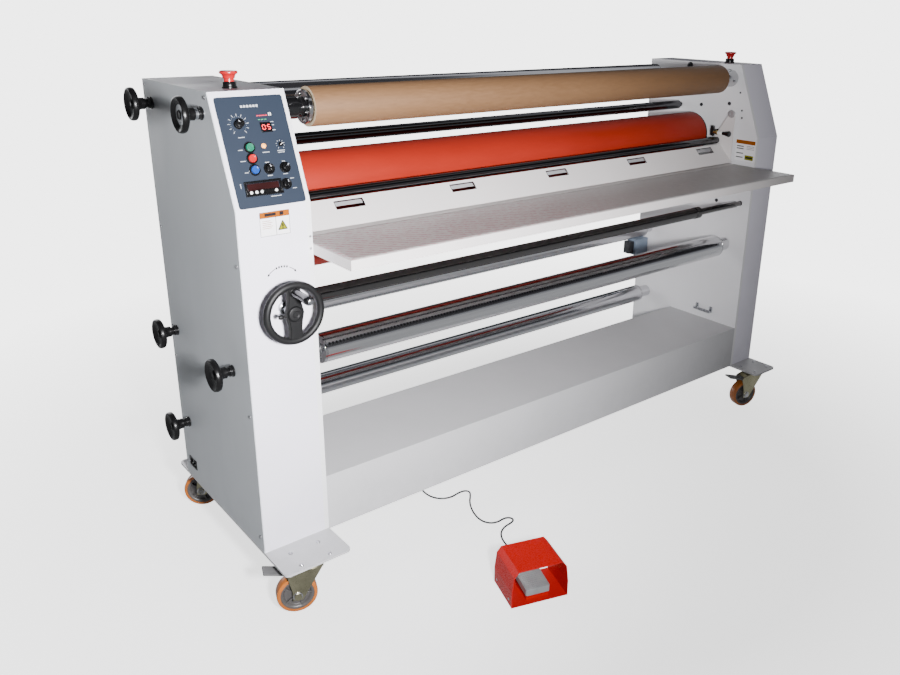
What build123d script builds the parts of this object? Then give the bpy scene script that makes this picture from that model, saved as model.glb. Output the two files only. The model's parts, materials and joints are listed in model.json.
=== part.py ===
from build123d import *
import os
from math import hypot, pi, radians, tan

# Wide-format cold roll laminator on casters, with a foot switch on a cable.
# X runs along the rollers, Y from the operator's side to the back, Z up from the floor.
# The origin is at the centre of the whole footprint box, at floor level.
# All sizes are in millimetres.

# ---------------------------------------------------------------- driving sizes
SPAN = 1700.0             # clear distance between the two side frames
LEFT = -795.0             # inner face of the left side frame
RIGHT = LEFT + SPAN       # inner face of the right side frame
LEFT_WIDTH = 176.0        # control cabinet
RIGHT_WIDTH = 120.0       # bearing cabinet
OUTER_LEFT = LEFT - LEFT_WIDTH
OUTER_RIGHT = RIGHT + RIGHT_WIDTH
FRONT = -74.0             # front face of both cabinets
DEPTH = 492.0
REAR = FRONT + DEPTH
BASE_Z = 150.0            # underside of the cabinets
KINK_Z = 995.0            # where the front starts to lean back
TOP_Z = 1233.0
SLOPE_RUN = 97.0          # how far the leaning front goes back

SHEET = 2.0               # folded covers
PAST = 1.0                # how far a cutting shape runs past what it cuts
FRAME_PLATE = 12.0        # steel side frames
BASE_PLATE = 6.0
BASE_FRONT = FRONT - 114.0
BASE_REAR = FRONT + 561.0
RUN_FIT = 0.05            # radial clearance of a turning shaft
HOLE_GAP = 2.0            # radial clearance where a shaft only passes through

# Roller axes as (Y, Z)
NIP_Y = FRONT + 255.0
NIP_RADIUS = 74.0
NIP_GAP = 0.4             # between the silicone faces when the nip is closed
NIP_LOW_Z = 840.0
NIP_HIGH_Z = NIP_LOW_Z + 2 * NIP_RADIUS + NIP_GAP
NIP_TRAVEL = 20.0
NIP_SHAFT = 20.0
NIP_CORE = NIP_RADIUS - 10.0    # radius under the silicone
NIP_TUBE = 9.0                  # wall of the steel tube
NIP_DISC = 16.0
NIP_ENDS = (LEFT + 20.0, LEFT + 1662.0)
LIFT_HALF = 36.0                # half size of the square bearing blocks
LIFT_WIDTH = 27.0
LIFT_ROD = 90.0
SUPPLY = (FRONT + 125.0, 1187.0)
REAR_TOP = (FRONT + 436.0, 1180.0)
REAR_MID = (FRONT + 442.0, 596.0)
SCALE_ROLL = (FRONT + 86.0, 605.0)
REAR_LOW = (FRONT + 430.0, 333.0)
UPPER_IDLER = (FRONT + 342.0, 1079.5)
DEFLECTOR = (FRONT + 40.0, 762.0)
SHAFT = 12.0              # radius of the five supply and rewind shafts
IDLER_SHAFT = 8.0
BEARING_WALL = 16.0
BEARING_WIDTH = 18.0
BRAKE_END = OUTER_LEFT + 30.0   # left end of the braked shafts
SHAFT_END = RIGHT + 45.0        # right end of every shaft
ROLLER_WALL = 4.0
IDLER_LEFT = LEFT - 45.0        # left end of the idler shafts
IDLER_INSET = 14.0

# Tube rollers on braked shafts: axis, radius, left end, right end, collar radius
TUBE_ROLLERS = {
    "rear_top_roller": (REAR_TOP, 38.0, LEFT + 60.0, LEFT + 1650.0, None),
    "rear_mid_roller": (REAR_MID, 33.0, LEFT + 60.0, LEFT + 1650.0, 22.0),
    "scale_takeup_roller": (SCALE_ROLL, 38.0, LEFT + 50.0, LEFT + 1636.0, 24.0),
    "rear_low_roller": (REAR_LOW, 31.5, LEFT + 60.0, LEFT + 1636.0, 22.0),
}

# Cardboard core on the supply shaft and its chucks
CORE_ENDS = (LEFT + 68.0, LEFT + 1616.0)
CORE_RADIUS = 46.0
CORE_BORE = 38.2
CHUCK_RADIUS = 39.0

# Steps of the deflector roller along X, with the radius up to each
DEFLECTOR_STEPS = ((LEFT + 1441.0, 18.0), (LEFT + 1463.0, 19.5), (LEFT + 1672.0, 11.0))

# Infeed table and guard
TABLE_Z = 899.0
TABLE_FRONT = FRONT - 167.0
TABLE_REAR = FRONT + 176.0
TABLE_LIP = 24.0
TABLE_RIB = 30.0          # width of the stiffening strips under the top
TABLE_RIGHT = RIGHT - 17.0
GUARD_LOW = (FRONT + 84.0, 903.5)
GUARD_HIGH = (FRONT + 140.0, 961.0)
GUARD_PIVOT = (FRONT + 103.0, 1068.0)
GUARD_IDLER = (FRONT + 153.0, 973.0)
GUARD_LEFT = LEFT + 8.0
GUARD_RIGHT = RIGHT - 10.0
GUARD_ARM = 4.0
GUARD_BOSS = 12.0
GUARD_STUD = 6.0
GUARD_STUD_HEAD = (13.0, 5.0)     # radius, thickness
GUARD_IDLER_RADIUS = 11.5
GUARD_IDLER_PIN = 5.0
WINDOW_MIDDLE = LEFT + 877.0
WINDOW_PITCH = 353.0
WINDOW_COUNT = 5
WINDOW = (80.0, 22.0)     # along X, up the guard
WINDOW_DROP = 21.0        # from the guard's top edge to the middle of a window
GUARD_LIP = 12.0

# Beam with its storage top
BEAM_LOW = 147.0
BEAM_HIGH = 299.0
BEAM_DEPTH = 302.0
BEAM_SHEET = 3.0

# Control panel, in its own leaning plane: X from the cabinet's outer face, Y up the slope
PANEL_NORMAL = Vector(0, -(TOP_Z - KINK_Z), SLOPE_RUN).normalized()
PANEL = Plane(origin=(OUTER_LEFT, FRONT, KINK_Z), x_dir=(1, 0, 0), z_dir=PANEL_NORMAL)
OVERLAY = (89.0, 124.0, 155.0, 240.0)      # centre X, centre Y, width, height
OVERLAY_THICK = 1.0
BUTTONS = {
    "start_button": (65.0, 133.0),
    "stop_button": (65.0, 109.0),
    "reverse_button": (65.0, 84.0),
}
BUTTON_RADIUS = 8.8
BUTTON_GAP = 0.1
SELECTORS = {
    "mode_selector": (98.0, 84.0),
    "pedal_selector": (135.0, 83.0),
    "fan_selector": (129.0, 47.0),
}
SELECTOR_RADIUS = 8.5
SELECTOR_GAP = 0.4
DIAL = (53.0, 184.0)
DIAL_RADIUS = 14.0
TRIM = (137.0, 134.0)
TRIM_RADIUS = 5.0
COLLAR_WALL = 3.0
COUNTER = (75.0, 44.0, 84.0, 32.0)         # centre X, centre Y, width, height
DISPLAY = (114.0, 174.0, 26.0, 22.0)
LAMPS = ((131.0, 200.0, 1.6), (123.0, 200.0, 1.6), (98.0, 134.0, 4.0))   # X, Y, radius

ESTOP_PLACES = {
    "estop_left": (LEFT - 97.0, FRONT + 160.0),
    "estop_right": (RIGHT + 60.0, FRONT + 188.0),
}
ESTOP_RADIUS = 20.0
ESTOP_STEM = 11.0
ESTOP_COLLAR = (15.0, 14.0)                # radius, height
ESTOP_HEAD = (21.0, 37.0)                  # underside and top of the head, above the cabinet

# Fasteners, as (Y from the front face, Z)
COVER_SCREWS = (
    (14.0, 190.0), (14.0, 513.0), (14.0, 873.0), (106.0, 1221.0),
    (480.0, 190.0), (480.0, 511.0), (480.0, 868.0), (480.0, 1221.0),
)
WALL_PLUGS = ((128.0, 1101.0), (368.0, 1120.0), (139.0, 756.0), (246.0, 1087.0))
WALL_KNOB = (311.0, 1220.0)
WALL_KNOB_SIZE = (10.5, 8.0)
WALL_SCREWS = ((74.0, 1082.0), (71.0, 1057.0), (88.0, 1141.0))
SWITCH_SCREWS_Z = (918.0, 890.0)
SCREW = (4.5, 2.0)        # radius, height
PLUG = (5.5, 3.0)
SMALL_SCREW = (3.0, 2.0)

# Fittings on the side frames and covers, as limits Y0, Y1, Z0, Z1
INLET_HOLE = (FRONT + 415.0, FRONT + 463.0, 186.0, 214.0)
INLET_RIM = (12.0, 6.0)
SENSOR_BOX = (FRONT + 442.0, FRONT + 490.0, 486.0, 550.0)
SENSOR_PLUG = (FRONT + 456.0, FRONT + 486.0, 494.0, 542.0)
CLEAT_ENDS = (FRONT + 106.0, FRONT + 168.0)
CLEAT_FOOT = 12.0
CLEAT_REACH = 18.0
CLEAT_Z = (330.0, 352.0)
LATCH_X = RIGHT - 30.0
LATCH_Y = FRONT + 164.0
LATCH_Z = 1001.0

# Drive inside the control cabinet
GEARBOX = (LEFT - 130.0, LEFT - 42.0, 55.0, 50.0)   # X limits, half depth, half height
MOTOR = (LEFT - 86.0, 42.0, 200.0)                  # X, radius, length

# Tension knobs, one on the end of each braked shaft
KNOB_SHAFTS = {
    "tension_knob_supply": SUPPLY,
    "tension_knob_rear_top": REAR_TOP,
    "tension_knob_rear_mid": REAR_MID,
    "tension_knob_front_mid": SCALE_ROLL,
    "tension_knob_rear_low": REAR_LOW,
}
KNOB_RADIUS = 39.0
KNOB_REACH = 56.0
KNOB_STEM = 9.0
KNOB_DISC = 20.0
KNOB_DISH = (30.0, 13.0, 8.0)   # mouth radius, floor radius, depth of the hollow in its face

# Nip handwheel on the front of the control cabinet
WHEEL_X = LEFT - 80.0
WHEEL_Z = 764.0
WHEEL_Y = FRONT - 48.0
WHEEL_RADIUS = 75.0
WHEEL_RIM = 9.0
WHEEL_HUB = 18.0
WHEEL_SHAFT = 9.0
GRIP_OFFSET = 50.0
GRIP_LENGTH = 72.0
GRIP_RADIUS = 11.0
GRIP_PIN = 4.0

# Casters: swivel X and Y, then the direction in which the wheel trails, in degrees from +X
CASTERS = {
    "front_left": (LEFT - 90.0, FRONT - 68.0, 161.0),
    "rear_left": (LEFT - 92.0, FRONT + 524.0, 148.0),
    "front_right": (RIGHT + 60.0, FRONT - 62.0, 163.0),
    "rear_right": (RIGHT + 60.0, FRONT + 524.0, 168.0),
}
BRAKED_CASTERS = ("front_left", "front_right")
WHEEL_R = 50.0
WHEEL_WIDTH = 30.0
TREAD = 9.0
TRAIL = 38.0
CASTER_PLATE = (100.0, 72.0, 4.0)
CASTER_BOLTS = (75.0, 58.0)
SWIVEL_RADIUS = 31.0
CROWN = (-28.0, 34.0)     # limits of the fork's crown along its own X
KINGPIN = 8.0
AXLE = 5.0
FORK_GAP = 36.0           # between the two legs
FORK_LEG = 3.0
FORK_TOP = BASE_Z - BASE_PLATE - CASTER_PLATE[2] - 0.5
PEDAL_PIVOT = (52.0, 112.0)
PEDAL_PIN = 3.0
PEDAL_SLOPE = 14.0
PEDAL_LEVER = (60.0, 5.0)

# Foot switch, turned a little on the floor
FOOT_X = -417.0
FOOT_Y = FRONT - 355.0
FOOT_TURN = -18.0
HOOD_WIDTH = 155.0
HOOD_DEPTH = 116.0
HOOD_HEIGHT = 103.0
HOOD_SHEET = 2.0
HOOD_SHOULDER = (72.0, 88.0)
HOOD_FLAT = 60.0
HOOD_KNEE = 45.0
TREADLE = (66.0, 88.0)    # width, length
TREADLE_PIVOT = (34.0, 17.0)   # Y and Z of its hinge pin
TREADLE_PIN = 3.0
SWITCH_BODY = (62.0, 84.0, 8.0)

# Foot switch cable: its outer size and the points of its route
CORD_DIAMETER = 5.0
CORD_FLOOR = 2.7          # height of its centre where it lies on the floor
GLAND_LENGTH = 20.0
CORD_ROUTE = (
    (-375.0, 158.0, BEAM_LOW - GLAND_LENGTH),
    (-375.0, 158.0, 98.0),
    (-375.0, 155.0, 63.0),
    (-375.0, 144.0, 30.0),
    (-375.5, 121.0, 8.0),
    (-375.0, 91.0, CORD_FLOOR),
    (-368.0, 62.0, CORD_FLOOR),
    (-350.0, 41.0, CORD_FLOOR),
    (-322.0, 33.0, CORD_FLOOR),
    (-294.0, 39.0, CORD_FLOOR),
    (-271.0, 38.0, CORD_FLOOR),
    (-261.0, 24.0, CORD_FLOOR),
    (-273.0, 5.0, CORD_FLOOR),
    (-296.0, -20.0, CORD_FLOOR),
    (-316.0, -54.0, CORD_FLOOR),
    (-329.0, -92.0, CORD_FLOOR),
    (-331.0, -124.0, CORD_FLOOR),
    (-319.0, -146.0, CORD_FLOOR),
    (-297.0, -155.0, CORD_FLOOR),
    (-273.0, -151.0, CORD_FLOOR),
    (-255.0, -158.0, CORD_FLOOR),
    (-253.0, -174.0, CORD_FLOOR),
    (-269.0, -182.0, CORD_FLOOR),
    (-296.0, -184.0, CORD_FLOOR),
    (-321.0, -197.0, CORD_FLOOR),
    (-339.0, -220.0, CORD_FLOOR),
    (-349.0, -250.0, CORD_FLOOR),
    (-354.0, -284.0, CORD_FLOOR),
    (-367.0, -316.0, CORD_FLOOR + 1.0),
    (-382.5, -353.0, 13.0),
    (-393.0, -386.5, 15.0),
)
CORD_ARC_SHARE = 0.45     # of the shorter run beside each corner


# ---------------------------------------------------------------- small helpers
def block(x0, x1, y0, y1, z0, z1):
    """Box from its six limits."""
    middle = ((x0 + x1) / 2, (y0 + y1) / 2, (z0 + z1) / 2)
    return Pos(*middle) * Box(x1 - x0, y1 - y0, z1 - z0)


def bar_x(x0, x1, axis, radius):
    """Round bar along X about axis (Y, Z)."""
    return Pos((x0 + x1) / 2, *axis) * (Rot(0, 90, 0) * Cylinder(radius, x1 - x0))


def bar_y(y0, y1, x, z, radius):
    """Round bar along Y."""
    return Pos(x, (y0 + y1) / 2, z) * (Rot(90, 0, 0) * Cylinder(radius, y1 - y0))


def bar_z(z0, z1, x, y, radius):
    """Round bar along Z."""
    return Pos(x, y, (z0 + z1) / 2) * Cylinder(radius, z1 - z0)


def tube_x(x0, x1, axis, outer, inner):
    """Round tube along X."""
    return bar_x(x0, x1, axis, outer) - bar_x(x0 - 1, x1 + 1, axis, inner)


def slab_x(face, x0, x1):
    """A YZ outline swept from x0 to x1."""
    return Pos(x0, 0, 0) * extrude(Plane.YZ * face, x1 - x0)


def on_panel(x, y, shape):
    """A shape built on the XY plane, put on the leaning control panel."""
    return PANEL * (Pos(x, y, OVERLAY_THICK) * shape)


def pin_up(radius, z0, z1):
    """Round pin along Z about the origin."""
    return Pos(0, 0, (z0 + z1) / 2) * Cylinder(radius, z1 - z0)


def ring_up(outer, inner, z0, z1):
    """Ring along Z about the origin."""
    return pin_up(outer, z0, z1) - pin_up(inner, z0 - 1, z1 + 1)


def cabinet_face(inset=0.0):
    """Side outline of a cabinet in Y and Z."""
    corners = [
        (FRONT, BASE_Z),
        (FRONT, KINK_Z),
        (FRONT + SLOPE_RUN, TOP_Z),
        (REAR, TOP_Z),
        (REAR, BASE_Z),
    ]
    face = make_face(Polyline(*corners, close=True))
    return offset(face, -inset, kind=Kind.INTERSECTION) if inset else face


# ---------------------------------------------------------------- fixed structure
def cabinet_shell(x0, x1):
    """Folded sheet that runs round the front, slope, top, back and bottom of a cabinet."""
    return slab_x(cabinet_face(), x0, x1) - slab_x(cabinet_face(SHEET), x0 - 1, x1 + 1)


def estop_hole(name):
    """Hole for a stop button's stem in the top of a cabinet."""
    x, y = ESTOP_PLACES[name]
    return bar_z(TOP_Z - 10, TOP_Z + 10, x, y, ESTOP_STEM + 1)


def left_cabinet_shell():
    """Control cabinet, with holes for the handwheel shaft and the push buttons."""
    shell = cabinet_shell(OUTER_LEFT + SHEET, LEFT - FRAME_PLATE) - estop_hole("estop_left")
    shell -= bar_y(FRONT - 5, FRONT + 5, WHEEL_X, WHEEL_Z, WHEEL_SHAFT + 1)
    for x, y in BUTTONS.values():
        shell -= on_panel(x, y, pin_up(BUTTON_RADIUS + 1, -9, 3))
    return shell


def right_cabinet_shell():
    """Bearing cabinet, plain apart from its stop button."""
    return cabinet_shell(RIGHT + FRAME_PLATE, OUTER_RIGHT - SHEET) - estop_hole("estop_right")


def left_side_cover():
    """Screwed-on outer sheet with a hole for each tension knob and the power inlet."""
    cover = slab_x(cabinet_face(), OUTER_LEFT, OUTER_LEFT + SHEET)
    for axis in KNOB_SHAFTS.values():
        cover -= bar_x(OUTER_LEFT - 1, OUTER_LEFT + SHEET + 1, axis, KNOB_STEM + RUN_FIT)
    return cover - block(OUTER_LEFT - 1, OUTER_LEFT + 5, *INLET_HOLE)


def right_side_cover():
    """Plain screwed-on outer sheet."""
    return slab_x(cabinet_face(), OUTER_RIGHT - SHEET, OUTER_RIGHT)


def side_frames():
    """The two thick plates that carry every shaft; the nip shaft above runs in a slot."""
    frames = []
    for x0 in (LEFT - FRAME_PLATE, RIGHT):
        plate = slab_x(cabinet_face(), x0, x0 + FRAME_PLATE)
        through = (x0 - 1, x0 + FRAME_PLATE + 1)
        for axis in KNOB_SHAFTS.values():
            plate -= bar_x(*through, axis, SHAFT + HOLE_GAP)
        for axis in (UPPER_IDLER, DEFLECTOR):
            plate -= bar_x(*through, axis, IDLER_SHAFT + HOLE_GAP)
        plate -= bar_x(*through, (NIP_Y, NIP_LOW_Z), NIP_SHAFT + HOLE_GAP)
        half = NIP_SHAFT + HOLE_GAP
        slot = (NIP_Y - half, NIP_Y + half, NIP_HIGH_Z - half, NIP_HIGH_Z + half + NIP_TRAVEL)
        plate -= block(*through, *slot)
        frames.append(plate)
    return Compound(children=frames)


def caster_bolt_places():
    """X and Y of every caster bolt."""
    dx, dy = CASTER_BOLTS[0] / 2, CASTER_BOLTS[1] / 2
    corners = [(i * dx, j * dy) for i in (-1, 1) for j in (-1, 1)]
    return [(x + i, y + j) for x, y, _ in CASTERS.values() for i, j in corners]


def base_plates():
    """Plate under each cabinet, and under its ends the four caster plates with their kingpins."""
    solids = []
    for x0, x1 in ((OUTER_LEFT, LEFT), (RIGHT, OUTER_RIGHT)):
        plate = block(x0, x1, BASE_FRONT, BASE_REAR, BASE_Z - BASE_PLATE, BASE_Z)
        solids.append(fillet(plate.edges().filter_by(Axis.Z), 14))
    low = BASE_Z - BASE_PLATE
    for x, y, _ in CASTERS.values():
        length, width, thick = CASTER_PLATE
        mount = Pos(x, y, low - thick / 2) * Box(length, width, thick)
        mount = fillet(mount.edges().filter_by(Axis.Z), 8)
        solids.append(mount + bar_z(low - thick - 14, low - thick / 2, x, y, KINGPIN))
    return Compound(children=solids)


def base_beam():
    """Closed box beam that ties the cabinets together; its top is the storage shelf."""
    limits = (LEFT, RIGHT, FRONT, FRONT + BEAM_DEPTH, BEAM_LOW, BEAM_HIGH)
    inside = [value + BEAM_SHEET * (1, -1)[i % 2] for i, value in enumerate(limits)]
    return block(*limits) - block(*inside)


def infeed_table():
    """Folded tray: a flat top with a lip along the front and both ends."""
    tray = block(LEFT, TABLE_RIGHT, TABLE_FRONT, TABLE_REAR, TABLE_Z - TABLE_LIP, TABLE_Z)
    hollow = (TABLE_FRONT + SHEET, TABLE_REAR + 1, TABLE_Z - TABLE_LIP - 1, TABLE_Z - SHEET)
    tray -= block(LEFT + SHEET, TABLE_RIGHT - SHEET, *hollow)
    rib = (TABLE_FRONT + SHEET, TABLE_REAR, TABLE_Z - 2 * SHEET, TABLE_Z - SHEET)
    for k in (1, 2, 3):
        x = LEFT + SPAN * k / 4
        tray += block(x - TABLE_RIB / 2, x + TABLE_RIB / 2, *rib)
    return tray


def control_overlay():
    """Thin printed panel over the slope, with a hole behind each push button."""
    x, y, width, height = OVERLAY
    sheet = Pos(x, y, -OVERLAY_THICK / 2) * Box(width, height, OVERLAY_THICK)
    overlay = on_panel(0, 0, fillet(sheet.edges().filter_by(Axis.Z), 6))
    for bx, by in BUTTONS.values():
        overlay -= on_panel(bx, by, pin_up(BUTTON_RADIUS + 1, -3, 3))
    return overlay


def panel_fittings():
    """Collars of the buttons and knobs, counter, two-digit display, lamps and E-stop collars."""
    solids = []
    for x, y in BUTTONS.values():
        inner = BUTTON_RADIUS + BUTTON_GAP
        solids.append(on_panel(x, y, ring_up(inner + COLLAR_WALL, inner, 0, 4)))
    for x, y in SELECTORS.values():
        inner = SELECTOR_RADIUS + SELECTOR_GAP
        solids.append(on_panel(x, y, ring_up(inner + COLLAR_WALL, inner, 0, 3)))
    x, y, width, height = COUNTER
    counter = fillet((Pos(x, y, 3) * Box(width, height, 6)).edges().filter_by(Axis.Z), 3)
    solids.append(on_panel(0, 0, counter))
    x, y, width, height = DISPLAY
    solids.append(on_panel(x, y, Pos(0, 0, 1) * Box(width, height, 2)))
    for x, y, radius in LAMPS:
        solids.append(on_panel(x, y, pin_up(radius, 0, 2)))
    radius, height = ESTOP_COLLAR
    for x, y in ESTOP_PLACES.values():
        solids.append(Pos(x, y, TOP_Z) * ring_up(radius, ESTOP_STEM + 0.3, 0, height))
    return Compound(children=solids)


def side_head(face, side, y, z, size):
    """Head of a screw or plug standing out of a face that looks along X to the given side."""
    radius, height = size
    x0, x1 = sorted((face, face + side * height))
    return bar_x(x0, x1, (FRONT + y, z), radius)


def panel_screws():
    """Every visible screw, bolt head and plug, and the two pivot studs of the guard."""
    solids = []
    for y, z in COVER_SCREWS:
        solids.append(side_head(OUTER_LEFT, -1, y, z, SCREW))
        solids.append(side_head(OUTER_RIGHT, 1, y, z, SCREW))
    solids += [side_head(RIGHT, -1, y, z, PLUG) for y, z in WALL_PLUGS]
    solids += [side_head(RIGHT, -1, y, z, SMALL_SCREW) for y, z in WALL_SCREWS]
    solids.append(side_head(RIGHT, -1, *WALL_KNOB, WALL_KNOB_SIZE))
    radius, height = SMALL_SCREW
    for z in SWITCH_SCREWS_Z:
        solids.append(bar_y(FRONT - height, FRONT, LEFT - FRAME_PLATE / 2, z, radius))
    for x, y in caster_bolt_places():
        solids.append(bar_z(BASE_Z, BASE_Z + height, x, y, radius))
    head_radius, head = GUARD_STUD_HEAD
    x0, x1 = GUARD_LEFT + GUARD_ARM + 0.5, GUARD_RIGHT - GUARD_ARM - 0.5
    for ends, head_ends in (((LEFT, x0), (x0, x0 + head)), ((x1, RIGHT), (x1 - head, x1))):
        solids.append(bar_x(*ends, GUARD_PIVOT, GUARD_STUD) + bar_x(*head_ends, GUARD_PIVOT, head_radius))
    return Compound(children=solids)


def bearing_pair(axis, radius):
    """A flanged bearing on the outer face of each side frame."""
    outer = radius + BEARING_WALL
    left = LEFT - FRAME_PLATE
    right = RIGHT + FRAME_PLATE
    return [
        tube_x(left - BEARING_WIDTH, left, axis, outer, radius + RUN_FIT),
        tube_x(right, right + BEARING_WIDTH, axis, outer, radius + RUN_FIT),
    ]


def drive_and_bearings():
    """Shaft bearings, and the geared motor that sits on the lower nip shaft."""
    solids = []
    for axis in KNOB_SHAFTS.values():
        solids += bearing_pair(axis, SHAFT)
    for axis in (UPPER_IDLER, DEFLECTOR):
        solids += bearing_pair(axis, IDLER_SHAFT)
    low = (NIP_Y, NIP_LOW_Z)
    solids += bearing_pair(low, NIP_SHAFT)
    x0, x1, half_depth, half_height = GEARBOX
    z0, z1 = NIP_LOW_Z - half_height, NIP_LOW_Z + half_height
    gearbox = block(x0, x1, NIP_Y - half_depth, NIP_Y + half_depth, z0, z1)
    gearbox = chamfer(gearbox.edges().filter_by(Axis.X), 14)
    solids.append(gearbox - bar_x(x0 - PAST, x1 + PAST, low, NIP_SHAFT + RUN_FIT))
    x, radius, length = MOTOR
    solids.append(bar_z(z0 - length, z0, x, NIP_Y, radius))
    return Compound(children=solids)


def power_inlet():
    """Recessed mains socket in the outer cover of the control cabinet."""
    y0, y1, z0, z1 = INLET_HOLE
    rim_y, rim_z = INLET_RIM
    inlet = block(OUTER_LEFT - 1.5, OUTER_LEFT + 18, y0, y1, z0, z1)
    return inlet - block(OUTER_LEFT - 2.5, OUTER_LEFT + 12, y0 + rim_y, y1 - rim_y, z0 + rim_z, z1 - rim_z)


def wall_cleat():
    """U-shaped steel bracket on the right side frame."""
    reach = RIGHT - CLEAT_REACH
    z0, z1 = CLEAT_Z
    cleat = block(reach, reach + 6, CLEAT_ENDS[0], CLEAT_ENDS[1] + CLEAT_FOOT, z0, z0 + 10)
    for y in CLEAT_ENDS:
        cleat += block(reach + 5.5, RIGHT, y, y + CLEAT_FOOT, z0, z1)
    return cleat


def side_fittings():
    """Power inlet, cleat and sensor box on the right wall, table spacer, guard latch."""
    sensor = block(RIGHT - 66, RIGHT, *SENSOR_BOX)
    sensor += block(RIGHT - 92, RIGHT - 66, *SENSOR_PLUG)
    spacer = block(TABLE_RIGHT, RIGHT, FRONT + 10, FRONT + 160, TABLE_Z - TABLE_LIP, TABLE_Z - 6)
    return Compound(children=[power_inlet(), wall_cleat(), sensor, spacer, *guard_latch()])


def guard_latch():
    """Index plunger and its post, which hold the guard down at its right-hand end."""
    post = block(LATCH_X - 5, LATCH_X + 5, LATCH_Y - 5, LATCH_Y + 5, LATCH_Z - 13, LATCH_Z + 22)
    post += bar_x(LATCH_X, RIGHT, (LATCH_Y, LATCH_Z + 5), 4)
    body = bar_y(LATCH_Y - 43, LATCH_Y - 5, LATCH_X, LATCH_Z, 7)
    knob = Pos(LATCH_X, LATCH_Y - 57, LATCH_Z) * (Rot(90, 0, 0) * Cone(6, 11, 28))
    return [post, body, knob]


def foot_plane():
    """Place and turn of the foot switch on the floor."""
    return Pos(FOOT_X, FOOT_Y, 0) * Rot(0, 0, FOOT_TURN)


def hood_face(inset=0.0):
    """Cross-section of the foot switch hood in X and Z."""
    half = HOOD_WIDTH / 2
    right = [(half, 0), (half, HOOD_KNEE), HOOD_SHOULDER, (HOOD_FLAT, HOOD_HEIGHT)]
    left = [(-x, z) for x, z in reversed(right)]
    face = make_face(Polyline(*right, *left, close=True))
    return offset(face, -inset, kind=Kind.INTERSECTION) if inset else face


def foot_switch_hood():
    """Sheet hood and floor in one ring, open to the front and back, and the switch block in it."""
    outer = Pos(0, HOOD_DEPTH / 2, 0) * extrude(Plane.XZ * hood_face(), HOOD_DEPTH)
    inner = Pos(0, HOOD_DEPTH / 2 + 1, 0) * extrude(Plane.XZ * hood_face(HOOD_SHEET), HOOD_DEPTH + 2)
    width, length, height = SWITCH_BODY
    switch = block(-width / 2, width / 2, -length / 2, length / 2, HOOD_SHEET, HOOD_SHEET + height)
    pivot_y, pivot_z = TREADLE_PIVOT
    for x in (-width / 2, width / 2 - 4):
        switch += block(x, x + 4, pivot_y - 5, pivot_y + 5, HOOD_SHEET, pivot_z)
        switch += bar_x(x, x + 4, (pivot_y, pivot_z), 5)
    switch += bar_x(-width / 2, width / 2, (pivot_y, pivot_z), TREADLE_PIN)
    switch += block(4, 18, length / 2 - 1, length / 2 + 3, HOOD_SHEET, 20)
    return Compound(children=[foot_plane() * (outer - inner), foot_plane() * switch])



def cord_gland():
    """Domed cable gland screwed into the underside of the beam."""
    x, y, low = CORD_ROUTE[0]
    gland = bar_z(BEAM_LOW - 8, BEAM_LOW, x, y, 10) + bar_z(low, BEAM_LOW - 8, x, y, 7)
    return chamfer(gland.edges().sort_by(Axis.Z)[0], 2)


def cord_radii(points):
    """Largest arc that fits each corner of the route."""
    radii = []
    for a, b, c in zip(points, points[1:], points[2:]):
        first, second = b - a, c - b
        shorter = min(first.length, second.length)
        radii.append(CORD_ARC_SHARE * shorter / tan(radians(first.get_angle(second)) / 2))
    return radii


def foot_switch_cord():
    """Cable from the gland to the back of the switch block."""
    points = [Vector(*p) for p in CORD_ROUTE]
    radii = cord_radii(points)
    path = FilletPolyline(*points, radius=radii)
    section = Plane(origin=path @ 0, z_dir=path % 0) * Circle(CORD_DIAMETER / 2)
    cord = sweep(section, path=path)
    ratio = cord.volume / (pi * CORD_DIAMETER ** 2 / 4 * path.length)
    print("cord length", round(path.length, 1), "volume ratio", round(ratio, 4))
    print("cord radii", [round(r, 1) for r in radii])
    return cord


# ---------------------------------------------------------------- rollers
def nip_sleeve(z):
    """Silicone covering of a nip roller."""
    return tube_x(*NIP_ENDS, (NIP_Y, z), NIP_RADIUS, NIP_CORE)


def nip_shaft(z, left_end):
    """Steel tube of a nip roller with its end discs and the shaft through it."""
    axis = (NIP_Y, z)
    x0, x1 = NIP_ENDS
    core = tube_x(x0, x1, axis, NIP_CORE, NIP_CORE - NIP_TUBE)
    for x in (x0, x1 - NIP_DISC):
        core += bar_x(x, x + NIP_DISC, axis, NIP_CORE)
    return core + bar_x(left_end, SHAFT_END, axis, NIP_SHAFT)


def nip_lift_blocks():
    """Bearing blocks that carry the upper nip shaft up and down on the side frames."""
    solids = []
    half = LIFT_HALF
    for x0 in (LEFT - FRAME_PLATE - 1 - LIFT_WIDTH, RIGHT + FRAME_PLATE + 1):
        x1 = x0 + LIFT_WIDTH
        carrier = block(x0, x1, NIP_Y - half, NIP_Y + half, NIP_HIGH_Z - half, NIP_HIGH_Z + half)
        carrier = chamfer(carrier.edges().filter_by(Axis.X), 6)
        carrier -= bar_x(x0 - PAST, x1 + PAST, (NIP_Y, NIP_HIGH_Z), NIP_SHAFT + RUN_FIT)
        top = NIP_HIGH_Z + half
        solids.append(carrier + bar_z(top, top + LIFT_ROD, (x0 + x1) / 2, NIP_Y, 8))
    return Compound(children=solids)


def end_caps(x0, x1, axis, inner, shaft):
    """A disc closing each end of a tube around its shaft."""
    return [tube_x(x0, x0 + 12, axis, inner, shaft), tube_x(x1 - 12, x1, axis, inner, shaft)]


def braked_shaft(axis):
    """Shaft with the brake disc that a tension knob presses on."""
    return bar_x(BRAKE_END, SHAFT_END, axis, SHAFT) + bar_x(BRAKE_END, BRAKE_END + 8, axis, 28)


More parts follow.
